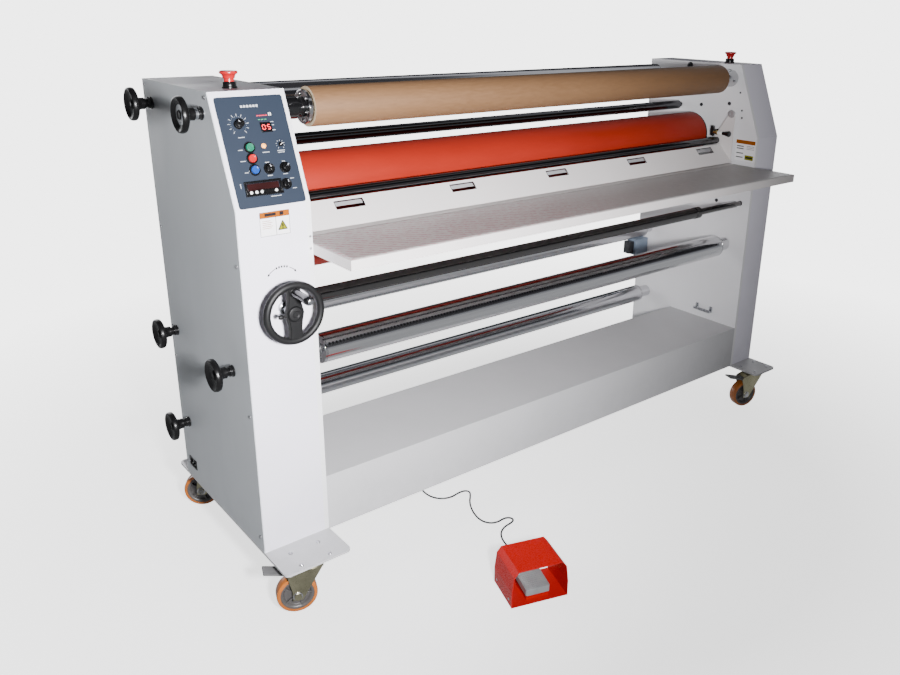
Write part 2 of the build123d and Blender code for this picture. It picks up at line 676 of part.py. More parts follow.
def tube_roller(node):
    """Tube on a braked shaft, with end caps and, on most, a set collar outside its right end."""
    axis, radius, x0, x1, collar = TUBE_ROLLERS[node]
    inner = radius - ROLLER_WALL
    solids = [tube_x(x0, x1, axis, radius, inner), braked_shaft(axis)]
    solids += end_caps(x0, x1, axis, inner, SHAFT)
    if collar:
        solids.append(tube_x(x1 + 6, RIGHT - 4, axis, collar, SHAFT))
    return Compound(children=solids)


def supply_core_tube():
    """Cardboard core wound with kraft paper on the supply shaft."""
    return tube_x(*CORE_ENDS, SUPPLY, CORE_RADIUS, CORE_BORE)


def supply_shaft():
    """Shaft with a core chuck at each end of the core."""
    plug = CORE_BORE - 0.2
    x0, x1 = CORE_ENDS
    collar = tube_x(LEFT + 4, x0 - 28, SUPPLY, 26, SHAFT)
    left_chuck = bar_x(x0 - 28, x0 - 12, SUPPLY, 20)
    left_chuck += bar_x(x0 - 12, x0 - 2, SUPPLY, CHUCK_RADIUS)
    left_chuck += bar_x(x0 - 2, x0 + 42, SUPPLY, plug)
    left_chuck -= bar_x(x0 - 50, x0 + 45, SUPPLY, SHAFT)
    right_chuck = tube_x(x1 - 42, x1 + 2, SUPPLY, plug, SHAFT)
    right_chuck += tube_x(x1 + 2, RIGHT - 4, SUPPLY, 28, SHAFT)
    return Compound(children=[braked_shaft(SUPPLY), collar, left_chuck, right_chuck])


def upper_idler():
    """Chrome idler above the nip."""
    roller = bar_x(LEFT + IDLER_INSET, RIGHT - IDLER_INSET, UPPER_IDLER, 15.5)
    return roller + bar_x(IDLER_LEFT, SHAFT_END, UPPER_IDLER, IDLER_SHAFT)


def deflector_roller():
    """Dark roller under the table front; its thick tube stops short of the right frame."""
    roller = bar_x(IDLER_LEFT, SHAFT_END, DEFLECTOR, IDLER_SHAFT)
    start = LEFT + IDLER_INSET
    for end, radius in DEFLECTOR_STEPS:
        roller += bar_x(start, end, DEFLECTOR, radius)
        start = end
    return roller


# ---------------------------------------------------------------- guard
def guard_direction():
    """Unit vector up the guard in Y and Z."""
    dy, dz = GUARD_HIGH[0] - GUARD_LOW[0], GUARD_HIGH[1] - GUARD_LOW[1]
    length = hypot(dy, dz)
    return dy / length, dz / length, length


def guard_plane():
    """Plane on the guard's front face: X along the machine, Y up the guard."""
    dy, dz, _ = guard_direction()
    return Plane(origin=(GUARD_LEFT, *GUARD_LOW), x_dir=(1, 0, 0), z_dir=(0, -dz, dy))


def nip_guard():
    """Leaning finger guard with five sight windows, hung on an arm at each end."""
    _, _, length = guard_direction()
    width = GUARD_RIGHT - GUARD_LEFT
    sheet = Pos(width / 2, length / 2, -SHEET / 2) * Box(width, length, SHEET)
    sheet += Pos(width / 2, length - SHEET / 2, -GUARD_LIP / 2) * Box(width, SHEET, GUARD_LIP)
    for k in range(WINDOW_COUNT):
        x = WINDOW_MIDDLE + (k - (WINDOW_COUNT - 1) / 2) * WINDOW_PITCH - GUARD_LEFT
        sheet -= Pos(x, length - WINDOW_DROP, 0) * Box(*WINDOW, 20)
    guard = guard_plane() * sheet
    for x0 in (GUARD_LEFT, GUARD_RIGHT - GUARD_ARM):
        guard += guard_arm(x0)
    return guard


def guard_arm(x0):
    """End plate from the pivot stud down to the guard sheet, with the idler's bearing hole."""
    dy, dz, length = guard_direction()
    inner = (GUARD_LOW[0] + dz * SHEET + dy * 12, GUARD_LOW[1] - dy * SHEET + dz * 12)
    outline = [
        (GUARD_PIVOT[0] - GUARD_BOSS, GUARD_PIVOT[1]),
        (GUARD_LOW[0] + 8 * dy, GUARD_LOW[1] + 8 * dz),
        inner,
        (GUARD_IDLER[0] + 16, GUARD_IDLER[1] - 4),
        (GUARD_IDLER[0] + 14, GUARD_IDLER[1] + 12),
        (GUARD_PIVOT[0] + GUARD_BOSS, GUARD_PIVOT[1]),
    ]
    arm = slab_x(make_face(Polyline(*outline, close=True)), x0, x0 + GUARD_ARM)
    arm += bar_x(x0, x0 + GUARD_ARM, GUARD_PIVOT, GUARD_BOSS)
    through = (x0 - PAST, x0 + GUARD_ARM + PAST)
    arm -= bar_x(*through, GUARD_PIVOT, GUARD_STUD + RUN_FIT)
    return arm - bar_x(*through, GUARD_IDLER, GUARD_IDLER_PIN + RUN_FIT)


def guard_idler():
    """Chrome idler that turns between the guard's arms."""
    inset = GUARD_ARM + 3
    tube = bar_x(GUARD_LEFT + inset, GUARD_RIGHT - inset, GUARD_IDLER, GUARD_IDLER_RADIUS)
    return tube + bar_x(GUARD_LEFT, GUARD_RIGHT, GUARD_IDLER, GUARD_IDLER_PIN)


# ---------------------------------------------------------------- controls that move
def tension_knob(axis):
    """Dished disc knob on a stem that reaches the brake of its shaft."""
    outer = OUTER_LEFT - KNOB_REACH
    disc = bar_x(outer, outer + KNOB_DISC, axis, KNOB_RADIUS)
    disc = fillet(disc.edges().filter_by(GeomType.CIRCLE), 7)
    mouth, floor, depth = KNOB_DISH
    dish = Rot(0, 90, 0) * Cone(mouth, floor, depth)
    disc -= Pos(outer + depth / 2, *axis) * dish
    hub = bar_x(outer + KNOB_DISC - 1, OUTER_LEFT - 3, axis, 14)
    boss = bar_x(outer + 3, outer + 10, axis, 9)
    return disc + hub + boss + bar_x(OUTER_LEFT - 3, BRAKE_END - 0.5, axis, KNOB_STEM)


def nip_handwheel():
    """Rim, broad two-arm web, hub and shaft of the nip handwheel."""
    rim_centre = WHEEL_RADIUS - WHEEL_RIM
    rim = Rot(90, 0, 0) * Torus(rim_centre, WHEEL_RIM)
    web = Box(34, 7, 2 * rim_centre)
    hub = Rot(90, 0, 0) * Cylinder(WHEEL_HUB, 26)
    wheel = Pos(WHEEL_X, WHEEL_Y, WHEEL_Z) * (rim + web + hub)
    pin_x, pin_z = WHEEL_X, WHEEL_Z + GRIP_OFFSET
    wheel += bar_y(WHEEL_Y - WHEEL_RIM - GRIP_LENGTH - 4, WHEEL_Y, pin_x, pin_z, GRIP_PIN)
    return wheel + bar_y(WHEEL_Y, FRONT + 60, WHEEL_X, WHEEL_Z, WHEEL_SHAFT)


def handwheel_grip():
    """Revolving grip on the handwheel's pin."""
    x, z = WHEEL_X, WHEEL_Z + GRIP_OFFSET
    y1 = WHEEL_Y - WHEEL_RIM - 1
    grip = fillet(bar_y(y1 - GRIP_LENGTH, y1, x, z, GRIP_RADIUS).edges().filter_by(GeomType.CIRCLE), 4)
    return grip - bar_y(y1 - GRIP_LENGTH - 1, y1 + 1, x, z, GRIP_PIN + RUN_FIT)


def push_button(place):
    """Flat round cap with its plunger behind the panel."""
    cap = chamfer(pin_up(BUTTON_RADIUS, -6, 7).edges().sort_by(Axis.Z)[-1], 1.2)
    return on_panel(*place, cap)


def selector(place):
    """Round base with a raised finger bar."""
    knob = pin_up(SELECTOR_RADIUS, 0.3, 8) + Pos(0, 0, 11) * Box(5, 2 * SELECTOR_RADIUS - 1, 7)
    return on_panel(*place, knob)


def speed_dial():
    """Knob on a skirt, with a pointer groove."""
    skirt = pin_up(DIAL_RADIUS, 0.3, 4) + pin_up(DIAL_RADIUS - 3, 4, 16)
    return on_panel(*DIAL, skirt - Pos(0, DIAL_RADIUS - 5, 16) * Box(1.6, 8, 3))


def trim_knob():
    """Small slotted trim control."""
    knob = pin_up(TRIM_RADIUS, 0.3, 7)
    return on_panel(*TRIM, knob - Pos(0, 0, 7) * Box(1.4, 12, 2))


def estop(place):
    """Mushroom head on its stem."""
    x, y = place
    low, high = ESTOP_HEAD
    head = pin_up(ESTOP_RADIUS, low, high) + pin_up(ESTOP_STEM, -6, low + PAST)
    head = fillet(head.edges().filter_by(GeomType.CIRCLE).sort_by(Axis.Z)[-1], 6)
    return Pos(x, y, TOP_Z) * head


# ---------------------------------------------------------------- casters
def caster_place(name):
    """Swivel axis and trailing direction of a caster."""
    x, y, turn = CASTERS[name]
    return Pos(x, y, 0) * Rot(0, 0, turn)


def fork_leg(y, braked):
    """One side plate of a fork, from y outwards by its thickness."""
    shoulder = FORK_TOP - 12
    x, z = PEDAL_PIVOT
    low, high = WHEEL_R - 12, WHEEL_R + 14
    outline = [(CROWN[0], shoulder), (TRAIL - 12, low), (TRAIL + 12, low), (TRAIL + 12, high)]
    if braked:
        outline += [(x + 7, z - 9), (x + 7, z + 7)]
    outline += [(38, shoulder)]
    leg = extrude(Plane.XZ * make_face(Polyline(*outline, close=True)), FORK_LEG)
    return Pos(0, y + FORK_LEG, 0) * leg - bar_y(y - PAST, y + FORK_LEG + PAST, TRAIL, WHEEL_R, AXLE)


def caster_fork(name):
    """Pressed fork with its axle; X runs from the swivel axis towards the wheel."""
    braked = name in BRAKED_CASTERS
    reach = FORK_GAP / 2 + FORK_LEG
    fork = ring_up(SWIVEL_RADIUS, KINGPIN + RUN_FIT, FORK_TOP - 12, FORK_TOP)
    crown = block(*CROWN, -reach, reach, FORK_TOP - 16, FORK_TOP - 12)
    fork += crown - pin_up(KINGPIN + 4, FORK_TOP - 20, FORK_TOP)
    for y in (-reach, FORK_GAP / 2):
        fork += fork_leg(y, braked)
    if braked:
        fork += bar_y(-reach, reach, *PEDAL_PIVOT, PEDAL_PIN)
    axle = bar_y(-reach, reach, TRAIL, WHEEL_R, AXLE)
    for y0, y1 in ((-reach - 5, -reach), (reach, reach + 5)):
        axle += bar_y(y0, y1, TRAIL, WHEEL_R, AXLE + 4)
    return Compound(children=[caster_place(name) * fork, caster_place(name) * axle])


def wheel_ring(half, outer, inner):
    """Ring about the wheel's axle, from -half to half."""
    ring = bar_y(-half, half, TRAIL, WHEEL_R, outer)
    return ring - bar_y(-half - PAST, half + PAST, TRAIL, WHEEL_R, inner)


def caster_wheel(name):
    """Cast tread on a hub that is dished on both sides."""
    half = WHEEL_WIDTH / 2
    rim = WHEEL_R - TREAD
    tread = wheel_ring(half, WHEEL_R, rim)
    tread = fillet(tread.edges().filter_by(GeomType.CIRCLE).sort_by(SortBy.LENGTH)[-2:], 4)
    hub = wheel_ring(half, rim, AXLE + RUN_FIT)
    for y in (-half, half):
        hub -= Pos(0, y, 0) * wheel_ring(8, rim - 6, 14)
    return Compound(children=[caster_place(name) * tread, caster_place(name) * hub])


def brake_pedal(name):
    """Foot pedal that turns on the fork's pin, out past the wheel."""
    x, z = PEDAL_PIVOT
    half = FORK_GAP / 2 - 1
    length, thick = PEDAL_LEVER
    lever = Rot(0, -PEDAL_SLOPE, 0) * Pos(4 + length / 2, 0, 0) * Box(length, 2 * half, thick)
    pedal = bar_y(-half, half, x, z, 7) + Pos(x, 0, z) * lever
    pedal -= bar_y(-half - PAST, half + PAST, x, z, PEDAL_PIN + RUN_FIT)
    return caster_place(name) * pedal


# ---------------------------------------------------------------- foot treadle
def foot_treadle():
    """Wedge-shaped treadle that hinges at its back edge."""
    width, length = TREADLE
    pivot_y, pivot_z = TREADLE_PIVOT
    back = pivot_y + 8
    front = back - length
    outline = [(front, 15), (front, 32), (front + 5, 35), (back, 40), (back, 21), (front + 10, 15)]
    wedge = slab_x(make_face(Polyline(*outline, close=True)), -width / 2, width / 2)
    wedge -= bar_x(-width, width, (pivot_y, pivot_z), 6.5)
    lug = block(-18, 18, pivot_y - 6, pivot_y + 6, pivot_z - 2, 26) + bar_x(-18, 18, (pivot_y, pivot_z), 6)
    treadle = wedge + lug - bar_x(-50, 50, (pivot_y, pivot_z), TREADLE_PIN + RUN_FIT)
    return foot_plane() * treadle


# ---------------------------------------------------------------- the whole machine
def all_parts():
    """Every node's name and shape."""
    parts = {
        "left_cabinet_shell": left_cabinet_shell(),
        "left_side_cover": left_side_cover(),
        "right_cabinet_shell": right_cabinet_shell(),
        "right_side_cover": right_side_cover(),
        "side_frames": side_frames(),
        "base_plates": base_plates(),
        "base_beam": base_beam(),
        "infeed_table": infeed_table(),
        "control_overlay": control_overlay(),
        "panel_fittings": panel_fittings(),
        "panel_screws": panel_screws(),
        "drive_and_bearings": drive_and_bearings(),
        "side_fittings": side_fittings(),
        "cord_gland": cord_gland(),
        "foot_switch_hood": foot_switch_hood(),
        "foot_switch_cord": foot_switch_cord(),
        "nip_guard": nip_guard(),
        "guard_idler": guard_idler(),
        "lower_nip_sleeve": nip_sleeve(NIP_LOW_Z),
        "lower_nip_shaft": nip_shaft(NIP_LOW_Z, LEFT - 134),
        "upper_nip_sleeve": nip_sleeve(NIP_HIGH_Z),
        "upper_nip_shaft": nip_shaft(NIP_HIGH_Z, IDLER_LEFT),
        "nip_lift_blocks": nip_lift_blocks(),
        "supply_core_tube": supply_core_tube(),
        "supply_shaft": supply_shaft(),
        "upper_idler": upper_idler(),
        "deflector_roller": deflector_roller(),
        "nip_handwheel": nip_handwheel(),
        "handwheel_grip": handwheel_grip(),
        "speed_dial": speed_dial(),
        "trim_knob": trim_knob(),
        "foot_treadle": foot_treadle(),
    }
    parts.update({name: tube_roller(name) for name in TUBE_ROLLERS})
    parts.update({name: tension_knob(axis) for name, axis in KNOB_SHAFTS.items()})
    parts.update({name: push_button(place) for name, place in BUTTONS.items()})
    parts.update({name: selector(place) for name, place in SELECTORS.items()})
    parts.update({name: estop(place) for name, place in ESTOP_PLACES.items()})
    parts.update({f"caster_fork_{name}": caster_fork(name) for name in CASTERS})
    parts.update({f"caster_wheel_{name}": caster_wheel(name) for name in CASTERS})
    parts.update({f"brake_pedal_{name}": brake_pedal(name) for name in BRAKED_CASTERS})
    return parts


os.makedirs("parts", exist_ok=True)
for node, shape in all_parts().items():
    export_step(shape, f"parts/{node}.step")
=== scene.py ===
import bmesh
import bpy
import json
from math import cos, pi, radians, sin
from mathutils import Matrix, Vector, noise


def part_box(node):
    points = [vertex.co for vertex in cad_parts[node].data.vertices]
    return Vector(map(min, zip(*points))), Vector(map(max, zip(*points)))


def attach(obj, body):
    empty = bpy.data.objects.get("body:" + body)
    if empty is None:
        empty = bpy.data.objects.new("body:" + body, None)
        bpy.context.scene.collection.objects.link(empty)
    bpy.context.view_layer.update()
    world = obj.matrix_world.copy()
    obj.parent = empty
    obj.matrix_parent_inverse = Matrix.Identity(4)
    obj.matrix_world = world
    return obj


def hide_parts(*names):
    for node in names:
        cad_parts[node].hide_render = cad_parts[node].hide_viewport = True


# Wide-format cold roll laminator. Places are in metres, in the row frame. Shapes and edge widths are given in
# millimetres, and the helpers turn them into metres.
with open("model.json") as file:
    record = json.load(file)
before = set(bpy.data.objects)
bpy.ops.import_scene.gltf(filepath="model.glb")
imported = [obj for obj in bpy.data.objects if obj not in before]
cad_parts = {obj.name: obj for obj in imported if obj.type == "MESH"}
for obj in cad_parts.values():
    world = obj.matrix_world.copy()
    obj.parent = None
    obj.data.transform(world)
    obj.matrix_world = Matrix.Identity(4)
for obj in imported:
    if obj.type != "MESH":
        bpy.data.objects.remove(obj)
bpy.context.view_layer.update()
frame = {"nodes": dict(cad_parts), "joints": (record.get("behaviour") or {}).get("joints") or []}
MM = 0.001

# ---------------------------------------------------------------- places read from the frame
nodes = frame["nodes"]
joints = {joint["name"]: joint for joint in frame["joints"]}
beam_low, beam_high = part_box("base_beam")
left_face, right_face, front = beam_low.x, beam_high.x, beam_low.y
outer_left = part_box("left_side_cover")[0].x
outer_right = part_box("right_side_cover")[1].x
cabinet_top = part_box("left_side_cover")[1].z
table_low, table_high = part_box("infeed_table")
CORNERS = ("front_left", "rear_left", "front_right", "rear_right")


def pivot(joint):
    """A joint's place."""
    return Vector(joints[joint]["pos_m"])


def axis_of(joint):
    """A joint's axis."""
    return Vector(joints[joint]["axis"]).normalized()


def middle_line(node):
    """Y and Z of the middle of a CAD node that lies along X."""
    low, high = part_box(node)
    return (low.y + high.y) / 2, (low.z + high.z) / 2


def turn(angle, axis="Z"):
    """Rotation about an axis."""
    return Matrix.Rotation(angle, 4, axis)


def shift(x=0.0, y=0.0, z=0.0):
    """Movement in millimetres."""
    return Matrix.Translation((x * MM, y * MM, z * MM))


def from_axes(origin, x, y, z):
    """Matrix that puts a shape's own axes along three directions at a place."""
    return Matrix.Translation(origin) @ Matrix((x, y, z)).transposed().to_4x4()


def aim(origin, direction):
    """Matrix that puts Z along a direction at a place."""
    return Matrix.Translation(origin) @ Vector(direction).to_track_quat("Z", "Y").to_matrix().to_4x4()


def show(item):
    """Puts an object in the scene."""
    bpy.context.collection.objects.link(item)
    return item


# ---------------------------------------------------------------- camera
def make_camera():
    """Camera ahead of the control cabinet's outer corner, looking down the machine."""
    yaw, pitch, roll = 0.6935134820, -0.3425222678, 0.0164497383
    forward = Vector((sin(yaw) * cos(pitch), cos(yaw) * cos(pitch), sin(pitch)))
    level = Vector((cos(yaw), -sin(yaw), 0))
    upright = level.cross(forward)
    right = level * cos(roll) + upright * sin(roll)
    up = upright * cos(roll) - level * sin(roll)
    data = bpy.data.cameras.new("camera")
    data.sensor_width = 36
    data.lens = 33.891
    data.shift_x = -0.04565
    data.shift_y = -0.03451
    camera = show(bpy.data.objects.new("camera", data))
    place = Vector((left_face - 0.869147, front - 1.678050, 1.414595))
    camera.matrix_world = from_axes(place, right, up, -forward)
    bpy.context.scene.camera = camera
    return place


# ---------------------------------------------------------------- shader nodes
def feed(tree, node, inputs):
    """Links each named input to another node's output, or sets it to a number or colour."""
    for name, value in inputs.items():
        if isinstance(value, bpy.types.NodeSocket):
            tree.links.new(value, node.inputs[name])
        else:
            node.inputs[name].default_value = value


def add(tree, kind, output, inputs=(), **settings):
    """New node with its settings and inputs; gives one output."""
    node = tree.nodes.new(f"ShaderNode{kind}")
    for name, value in settings.items():
        setattr(node, name, value)
    feed(tree, node, dict(inputs))
    return node.outputs[output]


def shader(name):
    """New material with its Principled shader and its object coordinates."""
    material = bpy.data.materials.new(name)
    material.use_nodes = True
    tree = material.node_tree
    return material, tree, tree.nodes["Principled BSDF"], add(tree, "TexCoord", "Object")


def noise_node(tree, place, scale, stretch=(1, 1, 1), detail=3, rough=0.5):
    """Noise value over the object, stretched along the row axes."""
    spot = add(tree, "Mapping", "Vector", {"Scale": stretch, "Vector": place})
    return add(tree, "TexNoise", "Fac", {"Scale": scale, "Detail": detail, "Roughness": rough, "Vector": spot})


def ramp(tree, value, stops):
    """Colour ramp through (position, colour) stops."""
    node = tree.nodes.new("ShaderNodeValToRGB")
    elements = node.color_ramp.elements
    while len(elements) < len(stops):
        elements.new(0.5)
    for element, (position, colour) in zip(elements, stops):
        element.position = position
        element.color = (*colour, 1)
    feed(tree, node, {"Fac": value})
    return node.outputs["Color"]


def span(tree, value, first, last, low=0.0, high=1.0):
    """Value remapped from one range to another."""
    return add(tree, "MapRange", "Result", {"From Min": first, "From Max": last, "To Min": low, "To Max": high,
                                            "Value": value})


def spread(tree, value, low, high):
    """Noise value remapped to a range."""
    return span(tree, value, 0.3, 0.7, low, high)


def calculate(tree, operation, *values):
    """Result of a sum on numbers or sockets."""
    return add(tree, "Math", "Value", enumerate(values), operation=operation)


def coordinate(tree, place, letter):
    """X, Y or Z of a place."""
    return add(tree, "SeparateXYZ", letter, {"Vector": place})


def mix_colours(tree, factor, first, second, blend="MIX"):
    """Blend of two colours."""
    return add(tree, "Mix", "Result", {"Factor": factor, "A": first, "B": second}, data_type="RGBA", blend_type=blend)


def bump(tree, bsdf, value, strength, distance):
    """Relief on a shader."""
    feed(tree, bsdf, {"Normal": add(tree, "Bump", "Normal", {"Strength": strength, "Distance": distance,
                                                             "Height": value})})


def times(colour, factor):
    """Darker or lighter colour."""
    return [min(1, max(0, value * factor)) for value in colour]


# ---------------------------------------------------------------- materials
TUBE_GRAIN = (0.03, 1, 1)          # noise stretched along X, the way the tubes lie


def finish(name, colour, rough, metal=0.0, vary=0.06, patch=9.0, grain=900.0, relief=0.12, depth=0.0002,
           rough_spread=0.06, coat=0.0, specular=0.5):
    """Surface whose colour drifts in patches, with a fine grain in its gloss and relief."""
    material, tree, bsdf, place = shader(name)
    drift = noise_node(tree, place, patch)
    fine = noise_node(tree, place, grain, detail=2)
    feed(tree, bsdf, {
        "Base Color": ramp(tree, drift, [(0.3, times(colour, 1 - vary)), (0.7, times(colour, 1 + vary))]),
        "Roughness": spread(tree, fine, rough - rough_spread, rough + rough_spread),
        "Metallic": metal, "Coat Weight": coat, "Coat Roughness": 0.15, "Specular IOR Level": specular})
    bump(tree, bsdf, fine, relief, depth)
    return material


def powder_coat(name, colour):
    """Fine-textured powder coat, darker in blotches towards the floor, with faint handling marks."""
    material, tree, bsdf, place = shader(name)
    clean = ramp(tree, noise_node(tree, place, 5.0, detail=5), [(0.3, times(colour, 0.95)), (0.7, colour)])
    # Blotchy darker tone that takes over towards the floor.
    low_darker_tone = ramp(tree, noise_node(tree, place, 26.0, detail=5, rough=0.7),
                 [(0.35, times(colour, 0.80)), (0.65, times(colour, 0.94))])
    ragged = calculate(tree, "MULTIPLY_ADD", noise_node(tree, place, 6.0), 0.25, coordinate(tree, place, "Z"))
    smear = noise_node(tree, place, 12.0, stretch=(1, 1, 0.25), detail=4)
    feed(tree, bsdf, {"Base Color": mix_colours(tree, span(tree, ragged, 0.10, 0.42), low_darker_tone, clean),
                      "Roughness": spread(tree, smear, 0.42, 0.58), "Specular IOR Level": 0.35})
    bump(tree, bsdf, noise_node(tree, place, 700.0, detail=3, rough=0.6), 0.22, 0.00025)
    return material


def turned(name, colour, rough, axis=0):
    """Turned or ground metal: fine rings about an axis along X or Y."""
    stretch = [0.04, 0.04, 0.04]
    stretch[axis] = 1.0
    material, tree, bsdf, place = shader(name)
    rings = noise_node(tree, place, 420.0, stretch, detail=2)
    patch = noise_node(tree, place, 7.0, detail=5)
    feed(tree, bsdf, {"Base Color": ramp(tree, patch, [(0.3, times(colour, 0.92)), (0.7, colour)]),
                      "Roughness": spread(tree, rings, rough * 0.7, rough * 1.35), "Metallic": 1.0})
    bump(tree, bsdf, rings, 0.10, 0.00005)
    return material


def chrome(name, colour, rough):
    """Plated tube with a fine lengthwise haze."""
    material, tree, bsdf, place = shader(name)
    haze = noise_node(tree, place, 90.0, TUBE_GRAIN, detail=4, rough=0.6)
    feed(tree, bsdf, {"Base Color": ramp(tree, haze, [(0.35, times(colour, 0.93)), (0.65, colour)]),
                      "Roughness": spread(tree, haze, rough * 0.85, rough * 1.2), "Metallic": 1.0})
    bump(tree, bsdf, haze, 0.04, 0.0001)
    return material


def silicone(end):
    """Ground red silicone: even, half matt, with faint rings, and a blackened edge past an X place."""
    material, tree, bsdf, place = shader("red_silicone")
    patch = noise_node(tree, place, 4.0, stretch=(0.5, 1.5, 1.5), detail=6, rough=0.6)
    tint = ramp(tree, patch, [(0.3, (0.225, 0.0130, 0.0055)), (0.55, (0.255, 0.0150, 0.0065)),
                              (0.75, (0.285, 0.0190, 0.0085))])
    past_end = calculate(tree, "GREATER_THAN", coordinate(tree, place, "X"), end)
    feed(tree, bsdf, {"Base Color": mix_colours(tree, past_end, tint, (0.006, 0.005, 0.005, 1)),
                      "Roughness": spread(tree, patch, 0.42, 0.58), "Specular IOR Level": 0.22})
    bump(tree, bsdf, noise_node(tree, place, 900.0, stretch=(1, 0.05, 0.05), detail=2), 0.12, 0.0001)
    return material


def kraft():
    """Wound kraft paper: fine fibres and soft blotches."""
    material, tree, bsdf, place = shader("kraft_paper")
    fibre = noise_node(tree, place, 260.0, stretch=(0.15, 1, 1), detail=6, rough=0.7)
    blotch = noise_node(tree, place, 5.0, stretch=(0.5, 1.5, 1.5), detail=5)
    base = ramp(tree, fibre, [(0.3, (0.135, 0.069, 0.029)), (0.6, (0.168, 0.088, 0.039)), (0.8, (0.195, 0.106, 0.050))])
    tone = ramp(tree, blotch, [(0.3, (0.88, 0.86, 0.84)), (0.7, (1.0, 1.0, 1.0))])
    feed(tree, bsdf, {"Base Color": mix_colours(tree, 1.0, base, tone, "MULTIPLY"),
                      "Roughness": spread(tree, fibre, 0.50, 0.72)})
    bump(tree, bsdf, fibre, 0.2, 0.0002)
    return material


def scale_chrome():
    """Bright roller with a row of short dark scale marks along one side."""
    low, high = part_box("scale_takeup_roller")
    centre, radius = (low + high) / 2, (high.z - low.z) / 2
    pitch = 0.010
    material, tree, bsdf, place = shader("scale_roller_chrome")
    x, y, z = (coordinate(tree, place, letter) for letter in "XYZ")
    dash = calculate(tree, "LESS_THAN", calculate(tree, "FRACT", calculate(tree, "MULTIPLY", x, 1 / pitch)), 0.50)
    facing = calculate(tree, "LESS_THAN", y, centre.y)
    above = calculate(tree, "GREATER_THAN", z, centre.z + radius * 0.46)
    below = calculate(tree, "LESS_THAN", z, centre.z + radius * 0.60)
    mark = calculate(tree, "MULTIPLY", calculate(tree, "MULTIPLY", dash, facing),
                     calculate(tree, "MULTIPLY", above, below))
    haze = noise_node(tree, place, 90.0, TUBE_GRAIN, detail=4, rough=0.6)
    base = ramp(tree, haze, [(0.35, (0.60, 0.60, 0.61)), (0.65, (0.66, 0.66, 0.67))])
    feed(tree, bsdf, {"Base Color": mix_colours(tree, mark, base, (0.02, 0.02, 0.02, 1)),
                      "Roughness": spread(tree, haze, 0.13, 0.18), "Metallic": 1.0})
    bump(tree, bsdf, haze, 0.04, 0.0001)
    return material


def glow(name, colour, strength):
    """Lit lamp or display segment."""
    material, tree, bsdf, place = shader(name)
    tone = ramp(tree, noise_node(tree, place, 600.0), [(0.2, times(colour, 0.8)), (0.8, colour)])
    feed(tree, bsdf, {"Base Color": tone, "Emission Color": tone, "Emission Strength": strength, "Roughness": 0.3})
    return material


def film_print():
    """Protective film on the table with faint pink print in slanted rows, which fades along the table."""
    black, white = (0, 0, 0), (1, 1, 1)
    material, tree, bsdf, place = shader("printed_film")
    rows = add(tree, "TexWave", "Fac", {"Scale": 24.0, "Distortion": 2.5, "Detail": 3.0, "Detail Scale": 5.0,
                                        "Vector": place}, bands_direction="DIAGONAL")
    broken = noise_node(tree, place, 60.0, stretch=(1.0, 2.0, 1.0), detail=3)
    ink = calculate(tree, "MULTIPLY", ramp(tree, rows, [(0.50, black), (0.80, white)]),
                    ramp(tree, broken, [(0.40, black), (0.50, white)]))
    fade = span(tree, coordinate(tree, place, "X"), left_face + 0.62, left_face + 1.05, 1.0, 0.0)
    wrinkle = noise_node(tree, place, 70.0, stretch=(1.6, 0.5, 1), detail=5)
    feed(tree, bsdf, {"Base Color": ramp(tree, calculate(tree, "MULTIPLY", ink, fade),
                                         [(0.0, (0.36, 0.345, 0.34)), (1.0, (0.30, 0.150, 0.160))]),
                      "Roughness": spread(tree, wrinkle, 0.34, 0.46)})
    bump(tree, bsdf, wrinkle, 0.25, 0.0006)
    return material


